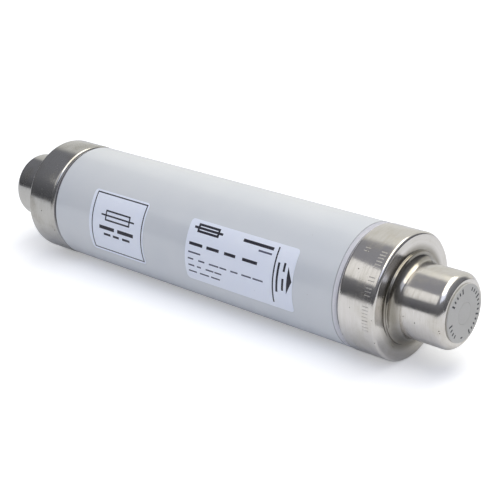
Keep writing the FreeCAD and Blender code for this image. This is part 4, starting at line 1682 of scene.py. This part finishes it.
@dataclass
class Studio:
    """Camera, pale floor and plain soft light.

    The spans of the room are of the upward share of the way that a ray looks, and the
    spans of the backdrop are of its shares towards the backdrop and along X.
    """

    camera_place: Point = (0.4929, -0.5402, 0.2701)
    camera_view: Point = (-0.613, 0.706, -0.355)
    lens: float = 87.37
    sensor: float = 36.0
    floor_front: float = -0.60
    floor_back: float = 3.0
    floor_side: float = 2.4
    floor_colour: Screen = (241, 242, 244)
    lift_reach: Span = (0.5, 1.3)
    seen_lift: Span = (0.36, 1.0)
    mirrored_lift: float = 0.06
    backdrop_way: Point = (0.0, 0.924, 0.382)
    backdrop_edge: Span = (0.46, 0.58)
    backdrop_end: Span = (0.22, 0.42)
    backdrop_colour: Colour = (0.82, 0.82, 0.80, 1.0)
    room_height: Span = (0.05, 0.80)
    room_strength: Span = (0.10, 0.32)
    room_tint: Colour = (0.90, 1.0, 1.34, 1.0)
    mirrored_room_tint: Colour = (0.98, 1.0, 1.12, 1.0)
    lamps: Sequence[Lamp] = (
        Lamp("overhead_panel", (0.20, 0.04, 1.30), (0.04, 0.0, 0.0), 1.75, 1.0, 12.7,
             (1.0, 0.955, 0.84)),
        Lamp("front_panel", (-0.51, -0.74, 0.69), (0.13, 0.0, 0.0), 0.62, 0.50, 0.76,
             (1.0, 0.99, 0.95)),
        Lamp("right_panel", (0.64, -0.74, 1.05), (0.05, 0.0, 0.0), 1.1, 0.7, 2.1,
             (0.86, 0.93, 1.16)),
    )

    def build(self) -> None:
        """Set up the whole stage."""
        self.add_camera()
        self.add_floor()
        self.add_world()
        for lamp in self.lamps:
            lamp.build()
        bpy.context.scene.view_settings.view_transform = "Standard"

    def add_camera(self) -> None:
        """The camera that took the photograph."""
        data = bpy.data.cameras.new("camera")
        data.lens = self.lens
        data.sensor_width = self.sensor
        camera = add_object("camera", data)
        camera.location = self.camera_place
        camera.rotation_euler = Vector(self.camera_view).to_track_quat("-Z", "Y").to_euler()
        bpy.context.scene.camera = camera

    def add_floor(self) -> None:
        """A pale table top that ends a little before the camera."""
        side, level = self.floor_side, CAD_BOX[0].z
        corners = [(-side, self.floor_front, level), (side, self.floor_front, level),
                   (side, self.floor_back, level), (-side, self.floor_back, level)]
        mesh = bpy.data.meshes.new("floor")
        mesh.from_pydata(corners, [], [(0, 1, 2, 3)])
        mesh.materials.append(self.floor_finish())
        add_object("floor", mesh)

    def floor_finish(self) -> bpy.types.Material:
        """Pale board. What the camera and mirrors see of it is lifted to white.

        Returns:
            The material.
        """
        material = bpy.data.materials.new("pale_floor")
        graph = empty_graph(material)
        board = graph.add("ShaderNodeBsdfDiffuse", {"Color": srgb(self.floor_colour)})
        lift = graph.ramp(graph.length(graph.spot()), *self.lift_reach, *self.seen_lift,
                          smooth=True)
        strength = graph.ray("Glossy") * self.mirrored_lift + graph.ray("Camera") * lift
        glow = graph.add("ShaderNodeEmission", {"Color": WHITE, "Strength": strength})
        both = graph.add("ShaderNodeAddShader", {0: board, 1: glow})
        graph.add("ShaderNodeOutputMaterial", {"Surface": both})
        return material

    def add_world(self) -> None:
        """White backdrop behind the fuse, a dim room in front of it.

        The camera sees white all round. Mirrors and matt surfaces see the backdrop as
        white too, and the unlit side of the room where it stands. The room is bluer for
        matt surfaces than for mirrors.
        """
        world = bpy.data.worlds.new("studio")
        graph = empty_graph(world)
        way = graph.read("ShaderNodeTexCoord", output="Generated")
        facing = graph.read("ShaderNodeVectorMath", {0: way, 1: self.backdrop_way}, "Value",
                            operation="DOT_PRODUCT")
        along, _, up = graph.split(way)
        backdrop = (graph.ramp(facing, *self.backdrop_edge, smooth=True)
                    * graph.ramp(along, *self.backdrop_end, 1.0, 0.0, smooth=True))
        tint = graph.mix(graph.ray("Glossy"), self.room_tint, self.mirrored_room_tint)
        strength = graph.ramp(up, *self.room_height, *self.room_strength)
        room = graph.read("ShaderNodeVectorMath", {0: tint, "Scale": strength}, "Vector",
                          operation="SCALE")
        studio = graph.mix(backdrop, room, self.backdrop_colour)
        shown = graph.mix(graph.ray("Camera"), studio, WHITE)
        light = graph.add("ShaderNodeBackground", {"Color": shown, "Strength": 1.0})
        graph.add("ShaderNodeOutputWorld", {"Surface": light})
        bpy.context.scene.world = world


def main() -> None:
    """Build every sub-assembly in order."""
    logging.basicConfig(level=logging.INFO, format="%(name)s: %(message)s")
    shop = Workshop()
    Studio().build()
    Barrel(shop).build()
    EndCap(shop, End.STRIKER).build()
    EndCap(shop, End.PLAIN).build()
    MarkingDisc(shop).build()
    rating = Label(shop, "rating_film", "rating_label", low_angle=-21.9, high_angle=38.0,
                   rows=RATING_ROWS)
    rating.build([Arrow(shop).mesh()])
    Label(shop, "range_film", "range_label", low_angle=-24.7, high_angle=39.0,
          rows=RANGE_ROWS).build()
    CapStamps(shop).build()
    Striker(shop).build()
    InnerParts(shop).build()


if __name__ == "__main__":
    main()
